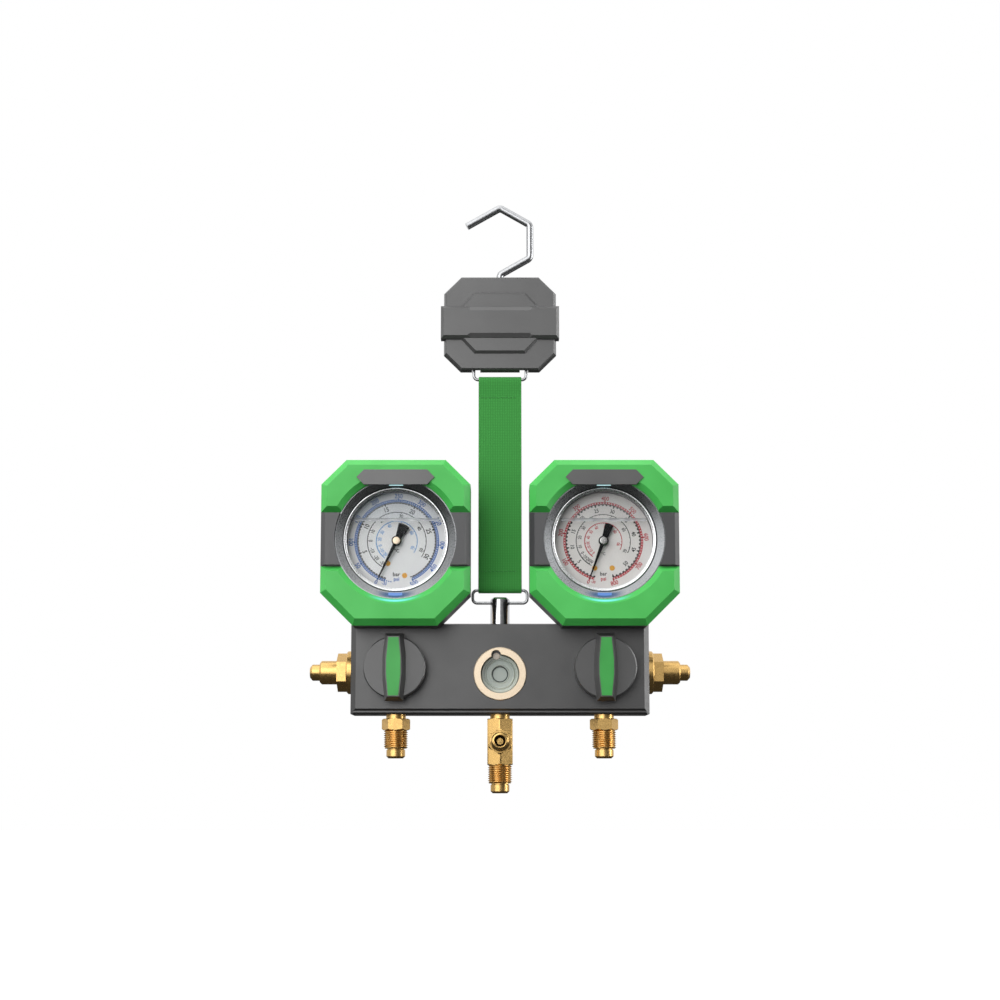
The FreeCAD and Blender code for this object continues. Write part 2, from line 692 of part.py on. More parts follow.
def make_block():
    """Bevelled bar of anodised aluminium with its valve, sight glass and gauge bores."""
    half = BLOCK_W / 2
    face = [
        (-half + BLOCK_EDGE, block_bottom_z), (half - BLOCK_EDGE, block_bottom_z),
        (half - BLOCK_EDGE, block_top_z - BLOCK_TOP_EDGE), (-half + BLOCK_EDGE, block_top_z - BLOCK_TOP_EDGE),
    ]
    edge = [(-half, block_bottom_z), (half, block_bottom_z), (half, block_top_z), (-half, block_top_z)]
    back_inset = BLOCK_BACK_EDGE
    back = [
        (-half + back_inset, block_bottom_z + back_inset), (half - back_inset, block_bottom_z + back_inset),
        (half - back_inset, block_top_z - back_inset), (-half + back_inset, block_top_z - back_inset),
    ]
    edge_y = front_y + BLOCK_EDGE
    back_edge_y = back_y - BLOCK_BACK_EDGE
    block = fused(
        frustum(face, edge, front_y, edge_y),
        plate(edge, edge_y, back_edge_y),
        frustum(edge, back, back_edge_y, back_y),
    )
    tools = [block_low_edge(half)]
    for side in (-1, 1):
        x = side * valve_x
        tools.append(rod_y(VALVE_BORE_R, x, front_y - 1, seat_y, valve_z))
        tools.append(rod_y(GLAND_R, x, front_y - 1, front_y + GLAND_LEN, valve_z))
        tools.append(rod_y(GALLERY_R, x, seat_y - 1, gallery_y, valve_z))
        x = side * gauge_x
        tools.append(rod_z(STEM_R, x, port_y, block_top_z - STEM_SINK, block_top_z + 1))
        tools.append(rod_z(GALLERY_R, x, port_y, valve_z, block_top_z))
        x = side * port_x
        tools.append(rod_z(PORT_NECK_R, x, port_y, block_bottom_z - 1, block_bottom_z + PORT_SINK))
        tools.append(rod_z(GALLERY_R, x, port_y, block_bottom_z, valve_z))
        end_x = side * half
        holder_z = block_top_z - HOLDER_DOWN
        holder_y = front_y + BLOCK_D / 2
        tools.append(rod_x(HOLDER_SINK_R, end_x - side * HOLDER_SINK, end_x + side, holder_y, holder_z))
    tools.append(rod_x(GALLERY_R, -valve_x, valve_x, gallery_y, valve_z))
    tools.append(rod_y(SIGHT_R, 0, front_y - 1, front_y + SIGHT_SINK, sight_z))
    tools.append(rod_y(SIGHT_IN_R, 0, front_y, front_y + SIGHT_CHAMBER, sight_z))
    tools.append(rod_y(GALLERY_R, 0, front_y + SIGHT_CHAMBER - 1, gallery_y, sight_z))
    tools.append(rod_z(PORT_NECK_R, 0, port_y, block_bottom_z - 1, block_bottom_z + PORT_SINK))
    tools.append(rod_z(GALLERY_R, 0, port_y, block_bottom_z, sight_z))
    tools.append(rod_z(POST_THREAD_R, 0, 0, block_top_z - POST_THREAD_LEN, block_top_z + 1))
    for tool in tools:
        block = block.cut(tool)
    return block


def grip_outline(x, inset):
    """The knob's grip across its axis: straight in the middle, closing in towards both ends."""
    middle = GRIP_W / 2 - inset
    end = middle - GRIP_NARROW + inset * GRIP_NARROW / GRIP_W
    tip = GRIP_LEN / 2 - inset
    shoulder = tip - GRIP_TAPER
    rows = [(end, -tip), (middle, -shoulder), (middle, shoulder), (end, tip)]
    right = [(x + across, valve_z + along) for across, along in rows]
    left = [(x - across, valve_z + along) for across, along in reversed(rows)]
    return right + left


def make_valve(side, name):
    """Knob with its insert, spindle, gland and piston on one valve axis."""
    x = side * valve_x
    knob_back = front_y - KNOB_GAP
    disc_y = knob_back - KNOB_DISC_T
    grip_y = disc_y - GRIP_T
    rim_y = disc_y + KNOB_RIM

    disc = turned(
        [
            (0, KNOB_R), (KNOB_DISC_T - KNOB_RIM, KNOB_R), (KNOB_DISC_T, KNOB_R - KNOB_RIM),
        ],
        V(x, knob_back, valve_z), V(0, -1, 0),
    )
    hollow = rod_y(KNOB_RECESS_R, x, knob_back - KNOB_RECESS, knob_back + 1, valve_z)
    grip = frustum(grip_outline(x, GRIP_DRAFT), grip_outline(x, 0), grip_y, rim_y)
    hub = rod_y(HUB_R, x, disc_y + KNOB_RIM, knob_back, valve_z)
    bore = rod_y(SPINDLE_R, x, disc_y + KNOB_CAP, knob_back + 1, valve_z)
    insert_y = grip_y - INSERT_PROUD
    insert = plate(grip_outline(x, GRIP_DRAFT + INSERT_EDGE), insert_y, insert_y + INSERT_T)
    shell = fused(disc.cut(hollow), hub, grip)
    save(name + "_knob", shell.cut([bore, insert]))
    save(name + "_knob_insert", insert)

    gland_end = front_y + GLAND_LEN
    flange_y = gland_end - SPINDLE_FLANGE_T - STEP_GAP
    gland = rod_y(GLAND_R, x, front_y, gland_end, valve_z).cut([
        rod_y(SPINDLE_R + RUN_FIT, x, front_y - 3, gland_end + 1, valve_z),
        rod_y(SPINDLE_FLANGE_R + SLIDE_GAP, x, flange_y - STEP_GAP, gland_end + 1, valve_z),
    ])

    room_end = seat_y - PISTON_TIP - PISTON_FLOOR
    spindle_end = room_end - VALVE_LIFT - STEP_GAP
    spindle = fused(
        rod_y(SPINDLE_R, x, disc_y + KNOB_CAP, spindle_end, valve_z),
        rod_y(SPINDLE_FLANGE_R, x, flange_y, flange_y + SPINDLE_FLANGE_T, valve_z),
    )
    save(name + "_spindle", spindle)

    piston_start = seat_y - PISTON_LEN
    piston = turned(
        [
            (piston_start, VALVE_BORE_R - SLIDE_GAP), (seat_y - PISTON_TIP, VALVE_BORE_R - SLIDE_GAP),
            (seat_y, GALLERY_R + PISTON_FACE),
        ],
        V(x, 0, valve_z), Y_AXIS,
    )
    socket = rod_y(SPINDLE_R + RUN_FIT, x, piston_start - 1, room_end, valve_z)
    save(name + "_piston", piston.cut(socket))
    return gland


def make_sight_glass():
    """Brass bezel ring, thick window and the moisture target behind it."""
    ring = turned(
        [
            (-SIGHT_PROUD, SIGHT_R - 0.5), (-SIGHT_PROUD + 0.5, SIGHT_R), (SIGHT_SINK, SIGHT_R),
        ],
        V(0, front_y, sight_z), Y_AXIS,
    )
    open_y = front_y - 2 * SIGHT_PROUD
    notch_turn = math.radians(SIGHT_NOTCH_ANGLE)
    notch_x = -SIGHT_IN_R * math.sin(notch_turn)
    notch_z = sight_z + SIGHT_IN_R * math.cos(notch_turn)
    hole = rod_y(SIGHT_IN_R, 0, open_y, front_y + SIGHT_CHAMBER, sight_z)
    notch = rod_y(SIGHT_NOTCH_R, notch_x, open_y, front_y + SIGHT_SINK + 1, notch_z)
    save("sight_ring", ring.cut([hole, notch]))
    glass_y = front_y + GLASS_BACK
    glass = turned(
        [
            (0, SIGHT_IN_R - GLASS_EDGE), (GLASS_RIM_T, SIGHT_IN_R - GLASS_EDGE),
            (GLASS_RIM_T, SIGHT_IN_R), (GLASS_T, SIGHT_IN_R),
        ],
        V(0, glass_y, sight_z), Y_AXIS,
    )
    save("sight_window", glass)
    target = turned(
        [(glass_y + GLASS_T, TARGET_R), (glass_y + GLASS_T + TARGET_T, TARGET_R - 1)],
        V(0, 0, sight_z), Y_AXIS,
    )
    chamber_y = front_y + SIGHT_CHAMBER
    stem_y = glass_y + GLASS_T + TARGET_T / 3
    stand = fused(
        target,
        rod_y(SIGHT_IN_R, 0, chamber_y - TARGET_FOOT, chamber_y, sight_z),
        rod_y(GALLERY_R + TARGET_STEM, 0, stem_y, chamber_y, sight_z),
    )
    save("sight_target", stand.cut(rod_y(GALLERY_R, 0, stem_y, back_y, sight_z)))


def flare_end(radius, length, nose_r, nose_len, groove):
    """Profile of a flare connection from its hexagon to its sealing cone, as (along, radius)."""
    return [
        (0, radius - groove), (groove, radius), (length, radius), (length, nose_r),
        (length + nose_len - nose_r * 0.35, nose_r), (length + nose_len, nose_r * 0.65),
    ]


def make_ports():
    """Low and high side flare fittings under the block."""
    for side, name in ((-1, "low_port"), (1, "high_port")):
        x = side * port_x
        hex_top = block_bottom_z - PORT_NECK_LEN
        hex_low = hex_top - PORT_HEX_LEN
        body = fused(
            rod_z(PORT_NECK_R, x, port_y, hex_top, block_bottom_z + PORT_SINK),
            hexagon_bar(PORT_HEX_AF, V(x, port_y, hex_low), V(x, port_y, hex_top), X_AXIS),
            turned(
                flare_end(FLARE_R, FLARE_LEN, FLARE_NOSE_R, FLARE_NOSE_LEN, FLARE_GROOVE),
                V(x, port_y, hex_low), V(0, 0, -1),
            ),
        )
        bore = rod_z(FLARE_BORE_R, x, port_y, hex_low - 2 * FLARE_LEN, block_bottom_z + PORT_SINK + 1)
        save(name, body.cut(bore))


def make_tee():
    """Centre tee with its lower flare end, the small side port and the valve core in it."""
    hex_top = block_bottom_z - PORT_NECK_LEN
    hex_low = hex_top - TEE_BAR_LEN
    side_z = (hex_top + hex_low) / 2
    mouth_y = port_y - TEE_HEX_AF / math.sqrt(3) - SIDE_PORT_HEX_LEN - SIDE_PORT_LEN
    hex_start = mouth_y + SIDE_PORT_LEN
    sink_y = port_y - SIDE_PORT_SINK
    thread_end = SIDE_PORT_LEN - SIDE_PORT_TIP
    bar = fused(
        rod_z(PORT_NECK_R, 0, port_y, hex_top, block_bottom_z + PORT_SINK),
        hexagon_bar(TEE_HEX_AF, V(0, port_y, hex_low), V(0, port_y, hex_top), Y_AXIS),
        turned(
            flare_end(FLARE_R, FLARE_LEN, FLARE_NOSE_R, FLARE_NOSE_LEN, FLARE_GROOVE),
            V(0, port_y, hex_low), V(0, 0, -1),
        ),
    )
    bore = rod_z(FLARE_BORE_R, 0, port_y, hex_low - 2 * FLARE_LEN, block_bottom_z + PORT_SINK + 1)
    seat = rod_y(SIDE_PORT_R - THREAD_DEPTH, 0, mouth_y, sink_y, side_z)
    cross = rod_y(GALLERY_R, 0, sink_y - 1, port_y, side_z)
    hex_end = port_y - SIDE_PORT_HEX_BACK
    flat = hexagon_bar(SIDE_PORT_AF, V(0, hex_start, side_z), V(0, hex_end, side_z), Z_AXIS)
    save("centre_tee", bar.cut([bore, seat, cross, flat]))

    fitting = fused(
        flat,
        rod_y(SIDE_PORT_R - THREAD_DEPTH, 0, hex_start, sink_y, side_z),
        turned(
            [
                (0, SIDE_PORT_R - THREAD_DEPTH), (THREAD_DEPTH, SIDE_PORT_R), (thread_end, SIDE_PORT_R),
                (thread_end, SIDE_PORT_R - THREAD_DEPTH), (SIDE_PORT_LEN, SIDE_PORT_R - SIDE_PORT_TAPER),
            ],
            V(0, hex_start, side_z), V(0, -1, 0),
        ),
    )
    core_y = mouth_y + CORE_DEPTH
    fitting = fitting.cut([
        rod_y(SIDE_PORT_BORE_R, 0, mouth_y - 1, core_y, side_z),
        rod_y(CORE_R, 0, core_y - 1, sink_y + 1, side_z),
    ])
    save("tee_side_port", fitting)
    core = rod_y(CORE_R, 0, core_y, core_y + CORE_LEN, side_z)
    save("valve_core", core.cut(rod_y(CORE_PIN_R + RUN_FIT, 0, core_y - 1, core_y + CORE_LEN + 1, side_z)))
    plug_y = core_y + CORE_LEN + STEP_GAP
    pin = fused(
        rod_y(CORE_PIN_R, 0, core_y - CORE_PIN_OUT, plug_y, side_z),
        rod_y((CORE_R + CORE_PIN_R) / 2, 0, plug_y, plug_y + CORE_PLUG_T, side_z),
    )
    save("valve_core_pin", pin)


def make_holders():
    """Brass hose holders at both ends of the block."""
    z = block_top_z - HOLDER_DOWN
    y = front_y + BLOCK_D / 2
    for side, name in ((-1, "left_hose_holder"), (1, "right_hose_holder")):
        x = side * BLOCK_W / 2
        out = V(side, 0, 0)
        start = V(x, y, z)
        hex_start = start + out * HOLDER_FLANGE_T
        hex_end = hex_start + out * HOLDER_HEX_LEN
        profile = [
            (-HOLDER_SINK, HOLDER_SINK_R), (0, HOLDER_SINK_R), (0, HOLDER_FLANGE_R),
            (HOLDER_FLANGE_T - 0.8, HOLDER_FLANGE_R), (HOLDER_FLANGE_T, HOLDER_FLANGE_R - 0.8),
        ]
        barrel = [
            (0, HOLDER_R), (HOLDER_LEN - 1.2, HOLDER_R), (HOLDER_LEN, HOLDER_R - 1.2),
            (HOLDER_LEN, HOLDER_TIP_R), (HOLDER_LEN + HOLDER_TIP_LEN - 1.6, HOLDER_TIP_R),
            (HOLDER_LEN + HOLDER_TIP_LEN, HOLDER_TIP_R - 1.8),
        ]
        body = fused(
            turned(profile, start, out),
            hexagon_bar(HOLDER_HEX_AF, hex_start, hex_end, Z_AXIS),
            turned(barrel, hex_end, out),
        )
        save(name, body)


def make_gauge_housing(side, name):
    """Steel case, rolled bezel ring, window and dial of one gauge."""
    x = side * gauge_x
    case = rod_y(CASE_R, x, case_front_y, case_back_y, gauge_z)
    inside = rod_y(CASE_R - CASE_WALL, x, case_front_y - 1, case_back_y - CASE_WALL, gauge_z)
    stem_hole = box(x - SOCKET_W / 2, x + SOCKET_W / 2, port_y - SOCKET_W / 2, port_y + SOCKET_W / 2,
                    gauge_z - CASE_R - 1, gauge_z - SOCKET_TOP)
    save(name + "_case", case.cut([inside, stem_hole]))

    ring = turned(
        [
            (0, bezel_r - BEZEL_EDGE), (BEZEL_EDGE / 3, bezel_r - BEZEL_EDGE / 3),
            (BEZEL_EDGE, bezel_r), (BEZEL_LEN, bezel_r),
        ],
        V(x, bezel_y, gauge_z), Y_AXIS,
    )
    opening = turned(
        [
            (-1, bezel_in_r + 2 * BEZEL_LIP_T), (BEZEL_LIP_T, bezel_in_r), (BEZEL_LEN, bezel_in_r),
        ],
        V(x, bezel_y, gauge_z), Y_AXIS,
    )
    sleeve = rod_y(CASE_R, x, bezel_y + BEZEL_LIP_T, bezel_y + BEZEL_LEN + 1, gauge_z)
    save(name + "_bezel_ring", ring.cut([opening, sleeve]))

    window_y = bezel_y + BEZEL_LIP_T
    save(name + "_window", rod_y(window_r, x, window_y, window_y + WINDOW_T, gauge_z))
    dial = rod_y(dial_r, x, dial_y, dial_y + DIAL_T, gauge_z)
    save(name + "_dial", dial.cut(rod_y(DIAL_HOLE_R, x, dial_y - 1, dial_y + 2, gauge_z)))

    low = block_top_z - STEM_SINK
    socket = fused(
        box(x - SOCKET_W / 2, x + SOCKET_W / 2, port_y - SOCKET_W / 2, port_y + SOCKET_W / 2,
            block_top_z + SOCKET_FOOT, gauge_z - SOCKET_TOP),
        rod_z(STEM_R, x, port_y, low, block_top_z + SOCKET_FOOT),
    )
    bore_top = gauge_z - SOCKET_TOP - SOCKET_CAP
    save(name + "_socket", socket.cut(rod_z(SOCKET_BORE_R, x, port_y, low - 1, bore_top)))


def involute_tooth(teeth, angle_mid):
    """One tooth's outline about the origin, as (x, z) corners from root to tip and back.

    Each flank follows the involute of the base circle: at radius r the half-angle of the tooth is its
    half-angle at the pitch circle plus inv(pressure angle) minus inv(acos(base / r)).
    """
    pitch_r = GEAR_MODULE * teeth / 2
    base_r = pitch_r * math.cos(math.radians(PRESSURE_ANGLE))
    tip_r = pitch_r + GEAR_MODULE * TOOTH_TIP
    root_r = pitch_r - GEAR_MODULE * TOOTH_ROOT
    half_pitch = (math.pi * GEAR_MODULE / 2 - TOOTH_BACKLASH) / 2 / pitch_r

    def involute(angle):
        return math.tan(angle) - angle

    whole = half_pitch + involute(math.radians(PRESSURE_ANGLE))
    start_r = max(base_r, root_r)
    steps = 4
    flank = []
    for i in range(steps + 1):
        r = start_r + (tip_r - start_r) * i / steps
        flank.append((r, whole - involute(math.acos(min(1.0, base_r / r)))))
    if root_r < start_r:
        flank.insert(0, (root_r, flank[0][1]))
    left = [(r * math.sin(angle_mid - a), r * math.cos(angle_mid - a)) for r, a in flank]
    right = [(r * math.sin(angle_mid + a), r * math.cos(angle_mid + a)) for r, a in reversed(flank)]
    return left + right


def pinion_solid(x, y0, y1):
    """Pinion about the gauge's axis, with one tooth space facing straight down."""
    step = 2 * math.pi / PINION_TEETH
    corners = []
    for i in range(PINION_TEETH):
        corners += involute_tooth(PINION_TEETH, math.pi + step / 2 + i * step)
    return plate([(x + px, gauge_z + pz) for px, pz in corners], y0, y1)


def sector_centre_z():
    return gauge_z - GEAR_MODULE * PINION_TEETH * (1 + GEAR_RATIO) / 2


def sector_tail_point(x, y):
    angle = math.radians(SECTOR_TAIL_ANGLE)
    return V(x + SECTOR_TAIL * math.sin(angle), y, sector_centre_z() + SECTOR_TAIL * math.cos(angle))


def sector_solid(x, y0, y1):
    """Toothed sector under the pinion, with its tooth at the pinion's lowest space at rest."""
    teeth = PINION_TEETH * GEAR_RATIO
    pitch_r = GEAR_MODULE * teeth / 2
    root_r = pitch_r - GEAR_MODULE * TOOTH_ROOT
    step = 2 * math.pi / teeth
    # At rest the mesh is near one end, because the sector swings nearly all one way.
    first = -2
    corners = []
    for i in range(SECTOR_TEETH):
        corners += involute_tooth(teeth, (first + i) * step)
    start = (first - 0.7) * step
    end = (first + SECTOR_TEETH - 0.3) * step
    inner_r = root_r - SECTOR_RIM
    corners.append((root_r * math.sin(end), root_r * math.cos(end)))
    hub_r = SECTOR_HUB_R
    for angle in (end, (start + end) / 2 + SECTOR_ARM):
        corners.append((inner_r * math.sin(angle), inner_r * math.cos(angle)))
    middle = (start + end) / 2
    corners.append((hub_r * math.cos(middle), -hub_r * math.sin(middle)))
    corners.append((-hub_r * math.cos(middle), hub_r * math.sin(middle)))
    for angle in ((start + end) / 2 - SECTOR_ARM, start):
        corners.append((inner_r * math.sin(angle), inner_r * math.cos(angle)))
    corners.append((root_r * math.sin(start), root_r * math.cos(start)))
    centre_z = sector_centre_z()
    web = plate([(x + px, centre_z + pz) for px, pz in corners], y0, y1)
    tail_angle = math.radians(SECTOR_TAIL_ANGLE)
    tail_end = sector_tail_point(x, 0)
    normal = V(math.cos(tail_angle), 0, -math.sin(tail_angle)) * (SECTOR_TAIL_W / 2)
    base = V(x, 0, centre_z)
    tail_corners = [base - normal, base + normal, tail_end + normal, tail_end - normal]
    tail = plate([(corner.x, corner.z) for corner in tail_corners], y0, y1)
    return fused(web, tail, rod_y(hub_r, x, y0, y1, centre_z))


def pointer_outline(x, side):
    """Needle and counterweight tail of one gauge's pointer, as (x, z) corners at rest."""
    if side < 0:
        rest, length, tail, tail_root, tail_end = (
            LOW_REST_ANGLE, LOW_POINTER_LEN, LOW_TAIL_LEN, LOW_TAIL_ROOT_W, LOW_TAIL_END_W)
    else:
        rest, length, tail, tail_root, tail_end = (
            HIGH_REST_ANGLE, HIGH_POINTER_LEN, HIGH_TAIL_LEN, HIGH_TAIL_ROOT_W, HIGH_TAIL_END_W)
    half = [
        (length, POINTER_TIP_W / 2), (0, POINTER_ROOT_W / 2), (0, tail_root / 2),
        (TAIL_BULGE - tail, tail_end / 2), (-tail, tail_end / 6),
    ]
    if tail_root < POINTER_ROOT_W:
        half.pop(2)
    rows = half + [(along, -across) for along, across in reversed(half)]
    turn = math.radians(rest)
    corners = []
    for along, across in rows:
        corners.append((
            x + along * math.sin(turn) + across * math.cos(turn),
            gauge_z + along * math.cos(turn) - across * math.sin(turn),
        ))
    return corners


def make_movement(side, name):
    """Pointer with its pinion, toothed sector, plates and the bent pressure tube."""
    x = side * gauge_x
    centre_z = sector_centre_z()
    plate_y = dial_y + DIAL_T + PLATE_FRONT
    inner_y = plate_y + PLATE_T
    foot_y = port_y - SOCKET_W / 2
    rear_y = foot_y - PLATE_T
    gear_y = (inner_y + rear_y) / 2

    outline = [
        (x - PLATE_W / 2, centre_z - PILLAR_DOWN - PLATE_EDGE),
        (x + PLATE_W / 2, centre_z - PILLAR_DOWN - PLATE_EDGE),
        (x + PLATE_W / 2, gauge_z + PILLAR_UP + PLATE_EDGE),
        (x - PLATE_W / 2, gauge_z + PILLAR_UP + PLATE_EDGE),
    ]
    rear_plate = plate(outline, rear_y, rear_y + PLATE_T)
    front_plate = plate(outline, plate_y, inner_y)
    pillars = []
    for pillar_z in (centre_z - PILLAR_DOWN, gauge_z + PILLAR_UP):
        for pillar_x in (x - PILLAR_X, x + PILLAR_X):
            pillars.append(rod_y(PILLAR_R, pillar_x, plate_y, rear_y + PLATE_T, pillar_z))
    holes = [
        rod_y(ARBOR_R + RUN_FIT, x, plate_y - 1, rear_y + PLATE_T + 1, gauge_z),
        rod_y(ARBOR_R + RUN_FIT, x, plate_y - 1, rear_y + PLATE_T + 1, centre_z),
    ]
    save(name + "_movement_frame", fused(rear_plate, front_plate, *pillars).cut(holes))

    sector = fused(
        sector_solid(x, gear_y - SECTOR_T / 2, gear_y + SECTOR_T / 2),
        rod_y(ARBOR_R, x, plate_y, foot_y - STEP_GAP, centre_z),
    )
    save(name + "_sector_gear", sector)

    pointer_y = dial_y - POINTER_ABOVE
    needle = [
        plate(pointer_outline(x, side), pointer_y - POINTER_T, pointer_y),
        rod_y(POINTER_HUB_R, x, pointer_y - POINTER_T - POINTER_HUB_T, pointer_y + POINTER_COLLAR, gauge_z),
        rod_y(ARBOR_R, x, pointer_y, foot_y - STEP_GAP, gauge_z),
        pinion_solid(x, gear_y - PINION_T / 2, gear_y + PINION_T / 2),
    ]
    save(name + "_pointer", fused(*needle))

    tube_y = port_y
    deep, thin = TUBE_SECTION
    low_z = gauge_z - tube_path_r
    section = [
        V(x, tube_y - deep / 2, low_z - thin / 2), V(x, tube_y + deep / 2, low_z - thin / 2),
        V(x, tube_y + deep / 2, low_z + thin / 2), V(x, tube_y - deep / 2, low_z + thin / 2),
    ]
    centre_line = V(x, tube_y, gauge_z)
    tube = Part.Face(Part.makePolygon(section + [section[0]])).revolve(centre_line, Y_AXIS, TUBE_SWEEP)
    end_angle = math.radians(180 + TUBE_SWEEP)
    tip_point = V(x + tube_path_r * math.sin(end_angle), 0, gauge_z + tube_path_r * math.cos(end_angle))
    link_y = gear_y - SECTOR_T / 2 - LINK_GAP - LINK_R
    lug = rod_y(thin / 2 + 0.4, tip_point.x, link_y - LINK_R, tube_y + deep / 2, tip_point.z)
    link_start = V(tip_point.x, link_y, tip_point.z)
    link = rod(LINK_R, link_start, sector_tail_point(x, link_y))
    socket_zone = box(x - SOCKET_W / 2, x + SOCKET_W / 2, port_y - SOCKET_W / 2, port_y + SOCKET_W / 2,
                      gauge_z - CASE_R, gauge_z - SOCKET_TOP)
    save(name + "_bourdon_tube", fused(tube.cut(socket_zone), lug, link))


def boot_outline(x, inset):
    return smaller_octagon(BOOT_W, BOOT_H, BOOT_CUT_TOP, BOOT_CUT_LOW, x, boot_z, inset)


def band_slab(x, z0, z1):
    return box(x - BOOT_W, x + BOOT_W, guard_face_y, boot_rear_y, z0, z1)


def make_boot(side, name):
    """Grey boot, its two green guards, trim ring, blank plate, lamps and the lamp's button."""
    x = side * gauge_x
    band_low = gauge_z - LOWER_GUARD_TOP
    band_top = gauge_z + UPPER_GUARD_LOW
    face_y = guard_face_y + BAND_DROP
    band_inset = GUARD_EDGE * (1 - BAND_DROP / GUARD_T)
    raised = frustum(boot_outline(x, band_inset), boot_outline(x, 0), face_y, guard_seat_y)
    raised = raised.common(band_slab(x, band_low, band_top))
    bevel_y = boot_rear_y - BOOT_EDGE
    frame = plate(boot_outline(x, 0), guard_seat_y, bevel_y)
    rear = frustum(boot_outline(x, 0), boot_outline(x, BOOT_EDGE), bevel_y, boot_rear_y)
    cup = rod_y(cup_r, x, bevel_y, cup_back_y, gauge_z)
    body = fused(frame, rear, cup, raised)

    button_z = gauge_z - BUTTON_DOWN
    stem_half = SOCKET_W / 2 + SOCKET_GAP
    stem_room = box(x - stem_half, x + stem_half, port_y - stem_half, case_back_y,
                    block_top_z, gauge_z - CASE_R + CASE_WALL + SOCKET_GAP)
    cuts = [
        rod_y(CASE_R + CUP_GAP, x, guard_face_y - 1, case_back_y + CUP_GAP, gauge_z),
        rod_y(trim_in_r, x, guard_face_y - 1, bezel_y + BEZEL_LEN + TRIM_GAP, gauge_z),
        rod_y(guard_in_r, x, guard_face_y - 1, guard_seat_y + TRIM_DEPTH, gauge_z),
        stem_room,
        box(x - BOOT_W, x + BOOT_W, front_y - BLOCK_GAP, cup_back_y, block_bottom_z, block_top_z),
        rod_y(BUTTON_R + SLIDE_GAP, x, case_back_y, cup_back_y + 1, button_z),
        rod_y(BUTTON_COLLAR_R + SLIDE_GAP, x, case_back_y, cup_back_y - BUTTON_RETAINER, button_z),
    ]
    save(name + "_boot", body.cut(cuts))

    guard = frustum(boot_outline(x, GUARD_EDGE), boot_outline(x, 0), guard_face_y, guard_seat_y)
    eye = turned(
        [
            (-1, guard_in_r + GUARD_IN_EDGE + 1), (GUARD_IN_EDGE, guard_in_r), (GUARD_T + 1, guard_in_r),
        ],
        V(x, guard_face_y, gauge_z), Y_AXIS,
    )
    guard = guard.cut(eye)
    plate_z = gauge_z + guard_in_r
    half = PLATE_NAME_W / 2
    flat = PLATE_NAME_FLAT / 2
    tall = PLATE_NAME_H / 2
    plate_outline = [
        (x - flat, plate_z - tall), (x + flat, plate_z - tall), (x + half, plate_z),
        (x + flat, plate_z + tall), (x - flat, plate_z + tall), (x - half, plate_z),
    ]
    plate_y = guard_face_y - PLATE_NAME_PROUD
    name_plate = plate(plate_outline, plate_y, plate_y + PLATE_NAME_T)

    def end_wedge(z, upward):
        """Room beyond a guard's end, with its bevel."""
        low = guard_seat_y + 1
        high = guard_face_y - 1
        run = (low - high) * GUARD_END_EDGE / GUARD_T
        far = z - upward * BOOT_H
        side_points = [V(x - BOOT_W, high, z + upward * run),
                       V(x - BOOT_W, low, z), V(x - BOOT_W, low, far), V(x - BOOT_W, high, far)]
        face = Part.Face(Part.makePolygon(side_points + [side_points[0]]))
        return face.extrude(V(2 * BOOT_W, 0, 0))

    upper = guard.cut([end_wedge(band_top, 1), name_plate])
    lower = guard.cut(end_wedge(band_low, -1))
    save(name + "_upper_guard", upper)
    save(name + "_lower_guard", lower)

    trim = turned(
        [(0, guard_in_r), (TRIM_DEPTH, guard_in_r)], V(x, guard_seat_y, gauge_z), Y_AXIS,
    )
    cone = turned(
        [(0, guard_in_r - TRIM_RIM), (TRIM_DEPTH - TRIM_T, trim_in_r), (TRIM_DEPTH + 1, trim_in_r)],
        V(x, guard_seat_y, gauge_z), Y_AXIS,
    )
    lamps = []
    lamp_r = trim_in_r + LAMP_IN
    for direction in (1, -1):
        lamp_z = gauge_z + direction * lamp_r
        lamps.append(box(x - LAMP_W / 2, x + LAMP_W / 2, guard_seat_y + TRIM_DEPTH - LAMP_T,
                         guard_seat_y + TRIM_DEPTH, lamp_z - LAMP_H / 2, lamp_z + LAMP_H / 2))

    button_y = case_back_y + CUP_GAP + BUTTON_TRAVEL
    button = fused(
        rod_y(BUTTON_R, x, button_y, cup_back_y + BUTTON_PROUD, button_z),
        rod_y(BUTTON_COLLAR_R, x, button_y, cup_back_y - BUTTON_RETAINER, button_z),
    )
    save(name + "_lamp_button", button)
    return name_plate, trim.cut([cone] + lamps), lamps


save("hook", make_hook())
make_hanger()
make_rings()
save("strap", make_strap())
save("post", make_post())
save("manifold_block", make_block())
glands = []
for valve_side, valve_name in ((-1, "low"), (1, "high")):
    glands.append(make_valve(valve_side, valve_name))
save("valve_glands", group(*glands))
make_sight_glass()
make_ports()
make_tee()
make_holders()
name_plates = []
trim_rings = []
lamp_windows = []
for gauge_side, gauge_name in ((-1, "low_gauge"), (1, "high_gauge")):
    make_gauge_housing(gauge_side, gauge_name)
    make_movement(gauge_side, gauge_name)
    name_plate, trim_ring, lamps = make_boot(gauge_side, gauge_name)
    name_plates.append(name_plate)
    trim_rings.append(trim_ring)
    lamp_windows += lamps
save("name_plates", group(*name_plates))
save("trim_rings", group(*trim_rings))
save("lamp_windows", group(*lamp_windows))
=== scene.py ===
"""Looks of a two-valve refrigerant manifold gauge set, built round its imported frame.

Everything is in metres: X to the right as the dials are read, +Y away from the reader, +Z up.
"""

import math

